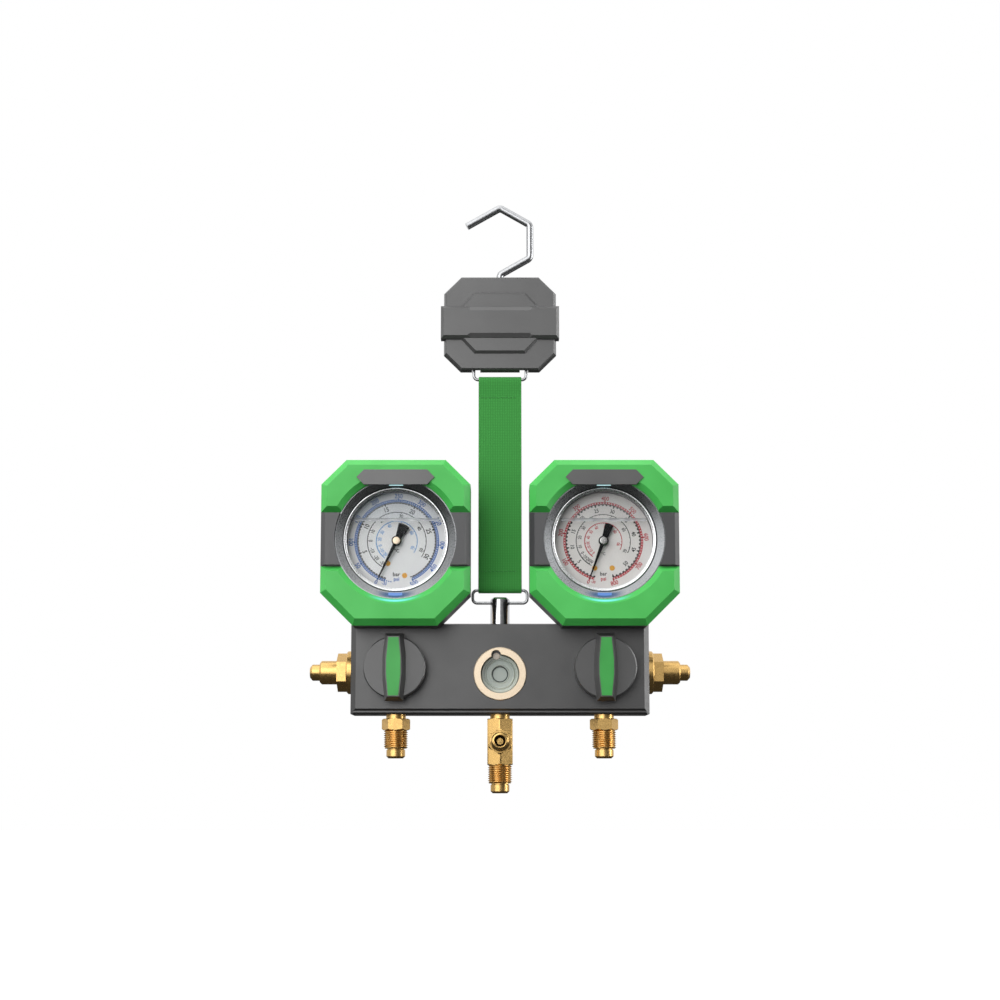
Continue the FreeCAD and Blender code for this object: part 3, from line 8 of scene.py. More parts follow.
import bmesh
import bpy
import numpy as np
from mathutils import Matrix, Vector


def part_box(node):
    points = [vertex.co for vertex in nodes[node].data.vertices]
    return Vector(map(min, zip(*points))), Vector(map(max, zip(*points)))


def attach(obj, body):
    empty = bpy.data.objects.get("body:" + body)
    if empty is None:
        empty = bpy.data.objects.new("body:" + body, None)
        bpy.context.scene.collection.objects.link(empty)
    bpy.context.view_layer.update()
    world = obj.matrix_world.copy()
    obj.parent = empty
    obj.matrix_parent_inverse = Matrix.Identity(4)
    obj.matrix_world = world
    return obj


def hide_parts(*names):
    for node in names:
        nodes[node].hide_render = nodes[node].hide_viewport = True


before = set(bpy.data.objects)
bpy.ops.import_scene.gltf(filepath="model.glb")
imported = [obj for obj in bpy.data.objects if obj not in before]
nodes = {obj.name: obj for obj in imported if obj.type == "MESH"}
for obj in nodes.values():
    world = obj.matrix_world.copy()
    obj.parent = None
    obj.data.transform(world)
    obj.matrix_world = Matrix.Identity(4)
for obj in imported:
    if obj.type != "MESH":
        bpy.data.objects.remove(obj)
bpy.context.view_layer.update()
MM = 0.001

# Camera: place in metres, lens and sensor in mm, pitch upwards in degrees, shift as a share of the frame
CAMERA_AT = (0.0, -1.0296, -0.385)
CAMERA_LENS = 56.12
CAMERA_SENSOR = 36.0
CAMERA_PITCH = 6.519
CAMERA_SHIFT = 0.10

# Studio, in metres and watts
FLOOR_Z = -0.62
FLOOR_REACH = 6.0
FLOOR_GLOW = 0.62       # the paper's own light towards the camera, so that it reads as white
AMBIENT = 1.0
LAMP_TARGET = (0.0, 0.0, -0.23)
LAMPS = {               # place, width, height, watts
    "key_softbox": ((-0.8, -1.25, 0.05), 1.6, 1.8, 18.0),
    "side_softbox": ((1.2, -0.15, -0.1), 0.25, 1.0, 6.0),
    "top_softbox": ((-0.1, -0.35, 1.0), 1.7, 1.3, 8.0),
}
# Room's brightness from straight down (0) to straight up (1), and what a card leaves of it round Z in degrees
HEIGHT_TONES = [(0.0, 0.02), (0.12, 0.04), (0.34, 0.42), (0.52, 0.90), (0.75, 1.05), (1.0, 0.90)]
CARD_TONES = [(-90, 1.0), (-50, 0.6), (-22, 1.0), (-3, 1.1), (14, 0.30), (48, 0.15), (72, 1.0)]


def linear(colour):
    """An sRGB hex colour as linear red, green, blue and alpha."""
    channels = [int(colour[i:i + 2], 16) / 255 for i in (1, 3, 5)]
    curve = [c / 12.92 if c <= 0.04045 else ((c + 0.055) / 1.055) ** 2.4 for c in channels]
    return (*curve, 1.0)


def add_node(tree, kind, values=None, links=None, **settings):
    """One shader node: its settings, the numbers on its sockets and what feeds them."""
    made = tree.nodes.new("ShaderNode" + kind)
    for key, value in settings.items():
        setattr(made, key, value)
    for key, value in (values or {}).items():
        made.inputs[key].default_value = value
    for key, source in (links or {}).items():
        tree.links.new(source, made.inputs[key])
    return made


def principled(name, sockets):
    """A material with one Principled shader, its plain sockets set directly."""
    made = bpy.data.materials.new(name)
    made.use_nodes = True
    shader = made.node_tree.nodes["Principled BSDF"]
    for key, value in sockets.items():
        shader.inputs[key].default_value = value
    return made, made.node_tree, shader


def stretched_noise(tree, grain, stretch=(1, 1, 1), detail=3.0):
    """Noise on Object coordinates with spots of the size grain, in metres, stretched along an axis."""
    place = add_node(tree, "TexCoord").outputs["Object"]
    scaled = add_node(tree, "Mapping", {"Scale": stretch}, {"Vector": place})
    noise = add_node(tree, "TexNoise", {"Scale": 1.0 / grain, "Detail": detail},
                     {"Vector": scaled.outputs["Vector"]})
    return noise.outputs["Fac"]


def tone_between(tree, factor, dark, light, low=0.3, high=0.7):
    """A colour that goes from dark to light as factor goes from low to high."""
    ramp = add_node(tree, "ValToRGB", links={"Fac": factor})
    ramp.color_ramp.elements[0].position = low
    ramp.color_ramp.elements[0].color = linear(dark)
    ramp.color_ramp.elements[1].position = high
    ramp.color_ramp.elements[1].color = linear(light)
    return ramp.outputs["Color"]


def number_between(tree, factor, low, high):
    """A number that goes from low to high as factor goes from 0.3 to 0.7."""
    spread = add_node(tree, "MapRange", {"From Min": 0.3, "From Max": 0.7, "To Min": low, "To Max": high},
                      {"Value": factor})
    return spread.outputs["Result"]


def raised_by(tree, shader, height, depth, strength=1.0):
    """Bump of the shader's surface by a height pattern, depth in metres."""
    bump = add_node(tree, "Bump", {"Distance": depth, "Strength": strength}, {"Height": height})
    tree.links.new(bump.outputs["Normal"], shader.inputs["Normal"])


def moulded(name, dark, light, roughness, grain_mm=0.5, depth_mm=0.02, gloss=0.5, metallic=0.0):
    """Moulded or blasted surface: a fine even grain and a slow change of tone over the piece.

    A mould's grain is about 0.1 mm wide; grain_mm draws it coarser, so that it shows.
    """
    made, tree, shader = principled(name, {"IOR": 1.5, "Specular IOR Level": gloss, "Metallic": metallic})
    slow = stretched_noise(tree, 30 * MM, detail=2.0)
    tree.links.new(tone_between(tree, slow, dark, light), shader.inputs["Base Color"])
    grain = stretched_noise(tree, grain_mm * MM, detail=4.0)
    tree.links.new(number_between(tree, grain, roughness - 0.06, roughness + 0.06), shader.inputs["Roughness"])
    raised_by(tree, shader, grain, depth_mm * MM)
    return made


def metal(name, dark, light, roughness, streak_mm=0.4, stretch=(1, 1, 1), depth_mm=0.004):
    """Bare or plated metal: fine machining or drawing streaks in its gloss and tone.

    Tool marks are about 0.1 mm apart; streak_mm draws them coarser, so that they show.
    """
    made, tree, shader = principled(name, {"Metallic": 1.0})
    streaks = stretched_noise(tree, streak_mm * MM, stretch, detail=3.0)
    tree.links.new(tone_between(tree, streaks, dark, light), shader.inputs["Base Color"])
    tree.links.new(number_between(tree, streaks, roughness * 0.75, roughness * 1.3), shader.inputs["Roughness"])
    raised_by(tree, shader, streaks, depth_mm * MM)
    return made


def stretch_round_gauges(made):
    """Draws a metal's gloss out round each gauge's axis, as lathe lines do.

    The tangent at a point is its arm from the axis, turned by 90 degrees.
    """
    tree = made.node_tree
    shader = tree.nodes["Principled BSDF"]
    shader.inputs["Anisotropic"].default_value = 0.75
    low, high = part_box("high_gauge_dial")
    place = add_node(tree, "SeparateXYZ", links={"Vector": add_node(tree, "TexCoord").outputs["Object"]})
    side = add_node(tree, "Math", links={0: place.outputs["X"]}, operation="SIGN")
    axis = add_node(tree, "Math", {1: (low[0] + high[0]) / 2}, {0: side.outputs[0]}, operation="MULTIPLY")
    across = add_node(tree, "Math", links={0: axis.outputs[0], 1: place.outputs["X"]}, operation="SUBTRACT")
    above = add_node(tree, "Math", {1: (low[2] + high[2]) / 2}, {0: place.outputs["Z"]}, operation="SUBTRACT")
    tangent = add_node(tree, "CombineXYZ", links={"X": above.outputs[0], "Z": across.outputs[0]})
    tree.links.new(tangent.outputs[0], shader.inputs["Tangent"])


# Polished stainless bar, rubbed in use: a soft grey shine with a dark lower side.
polished_steel = metal("polished_stainless_bar", "#A6A7A9", "#BCBDBF", 0.30, 0.9, depth_mm=0.0004)
# Turned steel post: tool marks run round it, so the streaks are squeezed along Z.
turned_steel = metal("turned_steel_post", "#B8B8BC", "#DADADC", 0.16, 0.25, (0.15, 0.15, 1.0))
# Zinc coated steel, pressed: a dull grey with broad soft lights.
pressed_steel = metal("zinc_coated_case_steel", "#8E8F92", "#A8A9AC", 0.38, 1.2)
# Rolled and polished stainless: a bright ring with a thin sharp highlight.
bezel_steel = metal("rolled_stainless_bezel", "#D2D3D4", "#EEEFF0", 0.30, 0.8)
# Spun aluminium: mid grey with light fans that follow the lathe lines.
trim_metal = metal("spun_aluminium_trim", "#86888A", "#A2A4A6", 0.30, 0.5, depth_mm=0.001)
stretch_round_gauges(trim_metal)
# Deep brown brass for a port's bore: painted shade, so that the bore reads as a hole.
shaded_bore_brass = metal("painted_shade_brass_bore", "#2A1E10", "#3A2A18", 0.55, 0.5)
# Turned brass: warm yellow with dark browns where it mirrors the floor.
turned_brass = metal("turned_brass", "#D8B06C", "#DCB572", 0.30, 1.5, depth_mm=0.0001)
# Satin plated brass, champagne: pale and even, no sharp highlight.
satin_brass = metal("satin_champagne_brass", "#E8D2B4", "#F8E8D0", 0.42, 0.4)
# Stamped clock brass: clean yellow plates and gears.
clock_brass = metal("clock_movement_brass", "#B79552", "#D8BC7E", 0.25, 0.4)
# Nickel plate: a cool, slightly warm-edged grey.
magnet_nickel = metal("nickel_plated_magnet", "#B4B4B2", "#D2D2D0", 0.22, 0.8)
# Black zinc on steel screws: near black with a soft glint.
black_zinc = metal("black_zinc_screw", "#2C2C2E", "#48484A", 0.35, 0.4)

# Anodised aluminium, bead blasted: dark grey, a fine even grain and a slow fall of light.
anodised = moulded("bead_blasted_anodised_aluminium", "#5C5C5C", "#646464", 0.40, 0.35, 0.008, metallic=0.85)
# Moulded nylon of the knobs: the same grey, plastic, with dark lower bevels.
knob_nylon = moulded("grey_nylon_knob", "#444444", "#4C4C4C", 0.36, 0.4, 0.010, gloss=1.0)
# Moulded acetal: a clear mid green with a low sheen.
green_acetal = moulded("green_acetal_insert", "#359E42", "#43AE4F", 0.38, 0.5, 0.006)
# Moulded nylon shell: satin dark grey, its lower bevels nearly black.
hanger_nylon = moulded("grey_nylon_shell", "#464646", "#4E4E4E", 0.38, 0.45, 0.012, gloss=1.0)
# Moulded nylon band: a little darker than the shell.
band_nylon = moulded("grey_nylon_band", "#434343", "#4B4B4B", 0.38, 0.45, 0.012, gloss=1.0)
# Moulded rubber boot: dark grey and satin.
boot_rubber = moulded("dark_rubber_boot", "#343436", "#3A3A3C", 0.42, 0.6, 0.02, gloss=0.9)
# Moulded polyurethane bumper: bright green with a soft light sheen.
guard_rubber = moulded("green_polyurethane_guard", "#44BC50", "#50C95D", 0.44, 0.6, 0.012)
# Moulded nylon plate: flat satin grey.
plate_plastic = moulded("grey_nylon_plate", "#464646", "#4E4E4E", 0.36, 0.5, 0.01, gloss=1.0)
# Rubber skin of a button: black and matt.
button_rubber = moulded("black_rubber_button", "#1E1E20", "#28282A", 0.6, 0.5, 0.02)
# Sprayed lacquer: matt black, no highlight.
pointer_lacquer = moulded("black_pointer_lacquer", "#040506", "#0A0C0E", 0.5, 0.3, 0.002, gloss=0.15)
# Stoved enamel on aluminium: even white, cool on the low side and a little warmer on the high side.
dial_enamel = moulded("white_dial_enamel", "#F4F5F6", "#F9FAFB", 0.5, 0.8, 0.001)
warm_enamel = moulded("warm_white_dial_enamel", "#F3EFEC", "#F7F4F1", 0.5, 0.8, 0.001)


def clear_glass():
    """Clear window with a hard coat: nearly all of what is behind shows, with a faint gloss."""
    made, tree, shader = principled("clear_polycarbonate", {
        "Base Color": linear("#0E1114"), "Roughness": 0.04, "IOR": 1.58, "Alpha": 0.06})
    haze = stretched_noise(tree, 8 * MM, detail=1.0)
    tree.links.new(number_between(tree, haze, 0.05, 0.07), shader.inputs["Alpha"])
    return made


def tinted_film(name, dark, light, alpha, grain_mm=6.0):
    """See-through sheet of painted light: a colour with little cover, softly clouded."""
    made, tree, shader = principled(name, {"Roughness": 0.5, "Specular IOR Level": 0.1})
    cloud = stretched_noise(tree, grain_mm * MM, (1, 1, 2), detail=1.0)
    tree.links.new(tone_between(tree, cloud, dark, light), shader.inputs["Base Color"])
    tree.links.new(number_between(tree, cloud, alpha * 0.8, alpha * 1.2), shader.inputs["Alpha"])
    return made


def lit_lens():
    """Frosted lens over a dial lamp: the upper one glows a pale cyan, the lower one a dim blue."""
    made, tree, shader = principled("lit_lamp_lens", {"Roughness": 0.3, "Emission Strength": 0.8})
    low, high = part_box("low_gauge_dial")
    middle = (low[2] + high[2]) / 2
    place = add_node(tree, "SeparateXYZ", links={"Vector": add_node(tree, "TexCoord").outputs["Object"]})
    upper = add_node(tree, "MapRange", {"From Min": middle - 5 * MM, "From Max": middle + 5 * MM},
                     {"Value": place.outputs["Z"]})
    tree.links.new(tone_between(tree, upper.outputs[0], "#5A7398", "#DFF6FA"), shader.inputs["Base Color"])
    tree.links.new(tone_between(tree, upper.outputs[0], "#3C6EC0", "#C6F6FC"), shader.inputs["Emission Color"])
    return made


def lamp_light(name, colour, strength):
    """Light of the dial lamp on a surface: it glows and covers where the attribute glow says."""
    made, tree, shader = principled(name, {
        "Base Color": linear("#000000"), "Roughness": 0.5, "Emission Color": linear(colour),
        "Emission Strength": strength})
    glow = add_node(tree, "Attribute", attribute_name="glow")
    grain = stretched_noise(tree, 1.2 * MM, detail=1.0)
    patchy = add_node(tree, "Math", {1: 0.12, 2: 0.94}, {0: grain}, operation="MULTIPLY_ADD")
    cover = add_node(tree, "Math", links={0: glow.outputs["Fac"], 1: patchy.outputs[0]}, operation="MULTIPLY")
    tree.links.new(cover.outputs[0], shader.inputs["Alpha"])
    return made


RIB_PITCH = 1.6         # warp ribs of the webbing
ROW_PITCH = 1.1         # its weft rows
WAVE_TURNS = 20         # the wave texture's phase per unit of length and scale, in radians


def woven(name, dark, light):
    """Polyester webbing: warp ribs along Z and weft rows across them, as tone and as bump.

    The real yarn is half as wide; it is drawn this coarse so that it shows.
    """
    made, tree, shader = principled(name, {"Roughness": 0.82, "IOR": 1.5, "Sheen Weight": 0.25})
    place = add_node(tree, "TexCoord").outputs["Object"]
    ribs, rows = [
        add_node(tree, "TexWave", {"Scale": 2 * math.pi / WAVE_TURNS / (pitch * MM), "Distortion": 0.4},
                 {"Vector": place}, wave_type="BANDS", bands_direction=way).outputs["Fac"]
        for way, pitch in (("X", RIB_PITCH), ("Z", ROW_PITCH))]
    weave = add_node(tree, "Math", links={0: ribs, 1: rows}, operation="MULTIPLY")
    tree.links.new(tone_between(tree, weave.outputs[0], dark, light, 0.0, 0.8), shader.inputs["Base Color"])
    raised_by(tree, shader, weave.outputs[0], 0.05 * MM, 0.5)
    return made


# Cast polycarbonate: clear, with a faint gloss.
clear_window = clear_glass()
# Frosted lens, lit from behind.
lamp_lens = lit_lens()
# Treated paper target: pale grey-green and matt.
target_face = moulded("pale_moisture_target", "#A9B5A6", "#BCC6B8", 0.4, 0.6, 0.01)
# Pressed glass over pale brass: grey-green rings with a soft gloss.
sight_glass = moulded("grey_green_sight_glass", "#AEB9B2", "#CBD3CD", 0.12, 2.0, 0.004)
# Drilled bore of the sight glass, nearly black: painted shade of the hole.
sight_bore_shade = moulded("painted_shade_dark_bore", "#1E2422", "#2E3633", 0.25, 0.6, 0.004)
# Fire polished glass bead: pale and bright.
bead_glass = moulded("pale_glass_bead", "#E9DDD0", "#F6EFE6", 0.1, 1.5, 0.004)
# Woven polyester and its bonded thread: leaf green, ribbed, no gloss.
webbing = woven("green_polyester_webbing", "#2E8A32", "#3CA240")
stitch_thread = moulded("green_bonded_thread", "#2C7D31", "#37903B", 0.6, 0.3, 0.02)
# Screen printed inks: matt flat colours on the enamel, a hair uneven in tone.
blue_ink, sky_ink, black_ink, red_ink, amber_ink = [
    moulded(colour + "_dial_ink", dark, light, 0.5, 0.4, 0.002) for colour, dark, light in (
        ("blue", "#1C62B8", "#2A70C6"), ("sky_blue", "#4C93D6", "#5AA0E0"), ("black", "#141618", "#1E2022"),
        ("red", "#C62A38", "#D23644"), ("amber", "#EAA83A", "#F2B64C"))]
# Painted reflections over the air above the glycerine, a faint blue one and a bright white one, and a painted
# highlight, a pale line, on the liquid's curved edge.
painted_air_reflection = tinted_film("painted_reflection_over_glycerine", "#B8CCE0", "#CFE0EE", 0.13, 30.0)
bright_painted_air_reflection = tinted_film("bright_painted_reflection_over_glycerine", "#F6F8FC", "#FFFFFF", 0.14, 30.0)
meniscus_highlight = tinted_film("glycerine_meniscus_painted_highlight", "#C9CDD2", "#E6E9EC", 0.5)
# Light of the dial lamps on what is round them.
blue_glow = lamp_light("blue_lamp_light", "#4A84C4", 0.55)
cyan_glow = lamp_light("cyan_lamp_light", "#7FF6EE", 1.1)

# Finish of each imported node; a name that starts with _ is there for both sides
for finish, names in (
    (polished_steel, "hook upper_ring lower_ring"), (hanger_nylon, "hanger_front hanger_back"),
    (band_nylon, "hanger_band"), (magnet_nickel, "hanger_magnet"), (black_zinc, "hanger_screws"),
    (webbing, "strap"), (turned_steel, "post _spindle"), (anodised, "manifold_block"),
    (turned_brass, "low_port high_port centre_tee tee_side_port left_hose_holder right_hose_holder valve_glands"
                   " _gauge_socket"),
    (clock_brass, "valve_core valve_core_pin _piston _gauge_movement_frame _gauge_bourdon_tube"
                  " _gauge_sector_gear"),
    (satin_brass, "sight_ring"), (clear_window, "sight_window _gauge_window"), (target_face, "sight_target"),
    (plate_plastic, "name_plates"), (trim_metal, "trim_rings"), (lamp_lens, "lamp_windows"),
    (knob_nylon, "_knob"), (green_acetal, "_knob_insert"), (pressed_steel, "_gauge_case"),
    (bezel_steel, "_gauge_bezel_ring"), (pointer_lacquer, "_gauge_pointer"), (boot_rubber, "_gauge_boot"),
    (guard_rubber, "_gauge_upper_guard _gauge_lower_guard"), (button_rubber, "_gauge_lamp_button"),
    (dial_enamel, "low_gauge_dial"), (warm_enamel, "high_gauge_dial"),
):
    for name in names.split():
        for node in ("low" + name, "high" + name) if name[0] == "_" else (name,):
            skins = nodes[node].data.materials
            skins.clear()
            skins.append(finish)


# Columns round a fitting or ring, a multiple of 6 so that hexagon corners fall on them
AROUND = 96

# Fittings, in mm. AF is the width across a hexagon's flats
PORT_SINK = 9.0         # neck inside the block
PORT_NECK_R = 6.5
PORT_NECK_LEN = 2.8
PORT_HEX_AF = 16.2
PORT_HEX_ROWS = np.array([0, 0.25, 0.5, 0.8, 1.2, 3.7, 6.3, 6.7, 7.0, 7.25, 7.5])
TEE_HEX_AF = 16.6
TEE_HEX_ROWS = np.array([0, 0.3, 0.6, 1.0, 29.3, 29.7, 30.0, 30.3])
FLARE_R = 7.94          # over the thread's crests
FLARE_LEN = 12.1
FLARE_NOSE_R = 6.2
FLARE_NOSE_LEN = 6.4
FLARE_NOSE_EDGE = 1.4
FLARE_NECK_CUT = 0.55   # undercut behind the nose
FLARE_PITCH = 1.411     # 5/8-18 thread
BORE_R = 2.9
BORE_DEEP = 8.0
SIDE_AF = 14.8
SIDE_HEX_LEN = 5.0
SIDE_R = 6.35
SIDE_LEN = 10.5
SIDE_PITCH = 1.27       # 1/2-20 thread
SIDE_TIP = 2.4          # plain end in front of the thread
SIDE_BORE_R = 3.6
SIDE_BORE_DEEP = 7.6
SIDE_FOOT = 9.0         # how far the side port's foot reaches behind its hexagon
SIDE_MOUTH_BEND = 1.5   # rounding of its mouth outside
SIDE_MOUTH_LEN = 1.6
SIDE_LIP_BEND = 0.55    # and inside
LINING_T = 0.3
LINING_DEEP = 7.2
LINING_CORE_R = 2.1     # opening in its floor for the valve core


def box_mm(name):
    """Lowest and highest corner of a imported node, in mm."""
    return [np.array(corner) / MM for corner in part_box(name)]


def add_piece(name, points, faces, finish, body="manifold", sharp=26.0):
    """A mesh of points in mm that moves with a body; edges over the sharp angle stay crisp."""
    mesh = bpy.data.meshes.new(name)
    mesh.from_pydata((np.asarray(points, float) * MM).reshape(-1, 3).tolist(), [], faces)
    mesh.materials.append(finish)
    mesh.polygons.foreach_set("use_smooth", np.ones(len(mesh.polygons), dtype=bool))
    mesh.set_sharp_from_angle(angle=math.radians(sharp))
    mesh.update()
    piece = bpy.data.objects.new(name, mesh)
    bpy.context.scene.collection.objects.link(piece)
    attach(piece, body)
    return piece


def spread(x, y, z):
    """Points from coordinates that are numbers, rows or columns and fill a grid together."""
    return np.stack(np.broadcast_arrays(x, y, z), -1)


def grid_quads(rows, columns, closed=True):
    """Quads of a grid of points, row after row, closed round its columns or open at both sides."""
    row = np.arange(rows - 1)[:, None]
    column = np.arange(columns if closed else columns - 1)[None, :]
    beside = (column + 1) % columns
    corners = [row * columns + column, row * columns + beside,
               (row + 1) * columns + beside, (row + 1) * columns + column]
    return np.stack(corners, -1).reshape(-1, 4).tolist()


def capped_quads(rows, columns):
    """The closed grid's quads with a flat face over its first and its last row."""
    first = range(columns - 1, -1, -1)
    last = range((rows - 1) * columns, rows * columns)
    return grid_quads(rows, columns) + [list(first), list(last)]


def looped_quads(rows, columns):
    """Quads of a grid that closes on itself both ways, as a ring's section does."""
    return (np.array(grid_quads(rows + 1, columns)) % (rows * columns)).tolist()


def add_turned(name, origin, along, corner, rows, finish, looped=False, body="manifold", sharp=26.0):
    """A piece turned round an axis: origin + station * along + radius * (cos t * corner + sin t * side).

    corner is the direction of the angle 0 and side = along x corner. rows holds the stations and their
    radii, one to a station or one for each of the angles. The ends are flat, or the section is looped.
    """
    along = np.array(along, float)
    corner = np.array(corner, float)
    side = np.cross(along, corner)
    turn = 2 * math.pi * np.arange(AROUND) / AROUND
    ring = np.cos(turn)[:, None] * corner + np.sin(turn)[:, None] * side
    stations = np.asarray(rows[0], float)[:, None, None]
    radii = np.asarray(rows[1], float).reshape(len(stations), -1, 1)
    points = np.array(origin, float) + stations * along + radii * ring
    quads = looped_quads if looped else capped_quads
    piece = add_piece(name, points, quads(len(stations), AROUND), finish, body, sharp)
    if looped:
        flip_if_inside_out(piece)
    return piece


def hexagon_radii(across_flats, stations, chamfer_ends):
    """Radius of a hexagon round its axis, a / cos(angle from the nearest flat), cut by a cone at its ends.

    The cone starts at 1.01 of the flats' radius at an end and widens 1.7 mm per mm along the axis.
    """
    half = across_flats / 2
    turn = 2 * math.pi * np.arange(AROUND) / AROUND
    flat = half / np.cos(turn % (math.pi / 3) - math.pi / 6)
    reach = np.full((len(stations), 1), 1e3)
    for end in chamfer_ends:
        reach = np.minimum(reach, half * 1.01 + 1.7 * np.abs(np.asarray(stations)[:, None] - end))
    return np.minimum(flat, reach)


def thread_radii(crest, pitch, length, stations):
    """Radius of a 60 degree thread that runs up a helix: phase = station / pitch - angle / turn.

    The root is flat for a quarter of the pitch and the crest for an eighth, the flanks run straight
    between them, and the thread runs out over the last pitch at both ends.
    """
    stations = np.asarray(stations)[:, None]
    phase = (stations / pitch - np.arange(AROUND) / AROUND) % 1.0
    flank = np.clip((np.abs(2 * phase - 1) - 0.25) / 0.625, 0, 1)
    depth = 0.6134 * pitch
    swell = np.clip((length - stations) / (0.6 * pitch), 0, 1) * np.clip(stations / (0.4 * pitch), 0, 1)
    return crest - depth + depth * flank * swell


def thread_stations(length, pitch):
    """Stations along a thread, ten to a pitch."""
    return np.linspace(0, length, int(round(length / pitch * 10)) + 1)


def joined_rows(*parts):
    """(stations, radii rows) of several stretches, one after another, each row as wide as the ring."""
    stations = np.concatenate([np.asarray(s, float) for s, _ in parts])
    radii = np.concatenate([np.broadcast_to(np.asarray(r, float).reshape(len(s), -1), (len(s), AROUND))
                            for s, r in parts])
    return stations, radii


def flare_rows(start):
    """Thread, plain nose, sealing cone and bore of a flare end that starts at this station."""
    inside = thread_stations(FLARE_LEN, FLARE_PITCH)
    thread = thread_radii(FLARE_R, FLARE_PITCH, FLARE_LEN, inside)
    nose = start + FLARE_LEN
    tip = nose + FLARE_NOSE_LEN
    neck = FLARE_NOSE_R - FLARE_NECK_CUT
    plain = [
        (nose + 0.05, neck), (nose + 0.7, neck), (nose + 0.95, FLARE_NOSE_R),
        (tip - FLARE_NOSE_EDGE, FLARE_NOSE_R), (tip, FLARE_NOSE_R - FLARE_NOSE_EDGE),
        (tip, BORE_R + 0.3), (tip - 0.3, BORE_R), (tip - BORE_DEEP, BORE_R),
    ]
    return (start + inside, thread), ([s for s, _ in plain], [r for _, r in plain])


def add_flare_fitting(node, corner, across_flats, hex_rows):
    """Flare fitting under the block: round neck, chamfered hexagon bar, thread and flare nose.

    corner is the way that a corner of the hexagon points, hex_rows its stations along the bar.
    """
    low, high = box_mm(node)
    x, y = ((low + high) / 2)[:2]
    hex_start = PORT_SINK + PORT_NECK_LEN
    bar = hex_start + hex_rows
    rows = joined_rows(
        ([0, hex_start], [PORT_NECK_R, PORT_NECK_R]),
        (bar, hexagon_radii(across_flats, bar, (hex_start, bar[-1]))),
        *flare_rows(bar[-1]),
    )
    piece = add_turned(node + "_fitting", (x, y, high[2]), (0, 0, -1), corner, rows, turned_brass)
    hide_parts(node)


def add_side_port():
    """Service port of the tee: hexagon, thread and a rounded mouth round its bore."""
    low, high = box_mm("tee_side_port")
    z = (low[2] + high[2]) / 2
    hex_end = SIDE_FOOT + SIDE_HEX_LEN
    thread_end = hex_end + SIDE_LEN - SIDE_TIP
    tip = hex_end + SIDE_LEN
    hexagon = SIDE_FOOT + np.array([0, 0.3, 0.6, 1.0, 2.5, 4.0, 4.4, 4.7, 5.0])
    inside = thread_stations(SIDE_LEN - SIDE_TIP, SIDE_PITCH)
    bend = np.linspace(0, math.pi / 2, 7)
    nose_r = SIDE_R - 0.75
    mouth_rows = [(thread_end + 0.05, nose_r)]
    mouth_rows += [(tip - SIDE_MOUTH_LEN + SIDE_MOUTH_LEN * math.sin(b),
                    nose_r - SIDE_MOUTH_BEND + SIDE_MOUTH_BEND * math.cos(b)) for b in bend]
    mouth_rows += [(tip - SIDE_LIP_BEND * (1 - math.cos(b)), SIDE_BORE_R + SIDE_LIP_BEND * (1 - math.sin(b)))
                   for b in bend]
    mouth_rows += [(tip - SIDE_BORE_DEEP, SIDE_BORE_R)]
    rows = joined_rows(
        ([0, SIDE_FOOT], [SIDE_R - 0.8, SIDE_R - 0.8]),
        (hexagon, hexagon_radii(SIDE_AF, hexagon, (SIDE_FOOT, hex_end))),
        (hex_end + inside, thread_radii(SIDE_R, SIDE_PITCH, SIDE_LEN - SIDE_TIP, inside)),
        ([s for s, _ in mouth_rows], [r for _, r in mouth_rows]),
    )
    piece = add_turned("service_port_fitting", (0, low[1] + tip, z), (0, -1, 0), (0, 0, 1), rows,
                       turned_brass)
    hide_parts("tee_side_port")


def add_service_bore():
    """Lining of the service port's bore, dark with painted shade: a thin tube with a floor round the valve core.

    Its closed section is carried round the port's axis.
    """
    low, high = box_mm("tee_side_port")
    outer, inner = SIDE_BORE_R - 0.02, SIDE_BORE_R - LINING_T
    rows = np.array([(0.7, outer), (0.7, inner), (LINING_DEEP - LINING_T, inner),
                     (LINING_DEEP - LINING_T, LINING_CORE_R), (LINING_DEEP, LINING_CORE_R), (LINING_DEEP, outer)])
    add_turned("service_bore", (0, low[1], (low[2] + high[2]) / 2), (0, 1, 0), (1, 0, 0), rows.T,
               shaded_bore_brass, looped=True)


# Strap, in mm
STRAP_W = 28.9
STRAP_T = 1.4
STRAP_EDGE = 0.35                       # rounded selvedge
STRAP_EYE_R = 1.0 + 0.3 + STRAP_T / 2   # wire, clearance and half the webbing
STRAP_SEAM = 11.0                       # from a wire's centre to where the two layers meet
STRAP_SOFTEN = 6                        # rounds of smoothing of its path
STITCH_LEN = 2.2
STITCH_R = 0.28
STITCH_STEP = 1.25                      # stitch to stitch, in stitch lengths
SEAM_TO_STITCH = 1.5


def strap_path(top, low):
    """Closed path of the webbing's middle in the y-z plane, round both wires, and its length.

    Each end is an arc round its wire; between the arcs the two layers run in to the seam and lie
    half a web either side of the middle plane. Points are about 1 mm apart, each then drawn to the
    mean of its neighbours and itself a few times.
    """
    arc = np.linspace(0, math.pi, 25)
    lie = STRAP_T / 2 + 0.02
    front_down = np.array([[-lie, top - STRAP_SEAM], [-lie, low + STRAP_SEAM]])
    over = np.stack([STRAP_EYE_R * np.cos(arc), top + STRAP_EYE_R * np.sin(arc)], 1)
    under = np.stack([-STRAP_EYE_R * np.cos(arc), low - STRAP_EYE_R * np.sin(arc)], 1)
    corners = np.concatenate([over, front_down, under, -front_down * [1, 0] + front_down[::-1] * [0, 1]])
    loop = np.concatenate([corners, corners[:1]])
    run = np.concatenate([[0], np.cumsum(np.hypot(*np.diff(loop, axis=0).T))])
    at = np.linspace(0, run[-1], int(run[-1]), endpoint=False)
    path = np.stack([np.interp(at, run, loop[:, k]) for k in (0, 1)], 1)
    for _ in range(STRAP_SOFTEN):
        path = (np.roll(path, 1, 0) + 2 * path + np.roll(path, -1, 0)) / 4
    return path, run[-1]


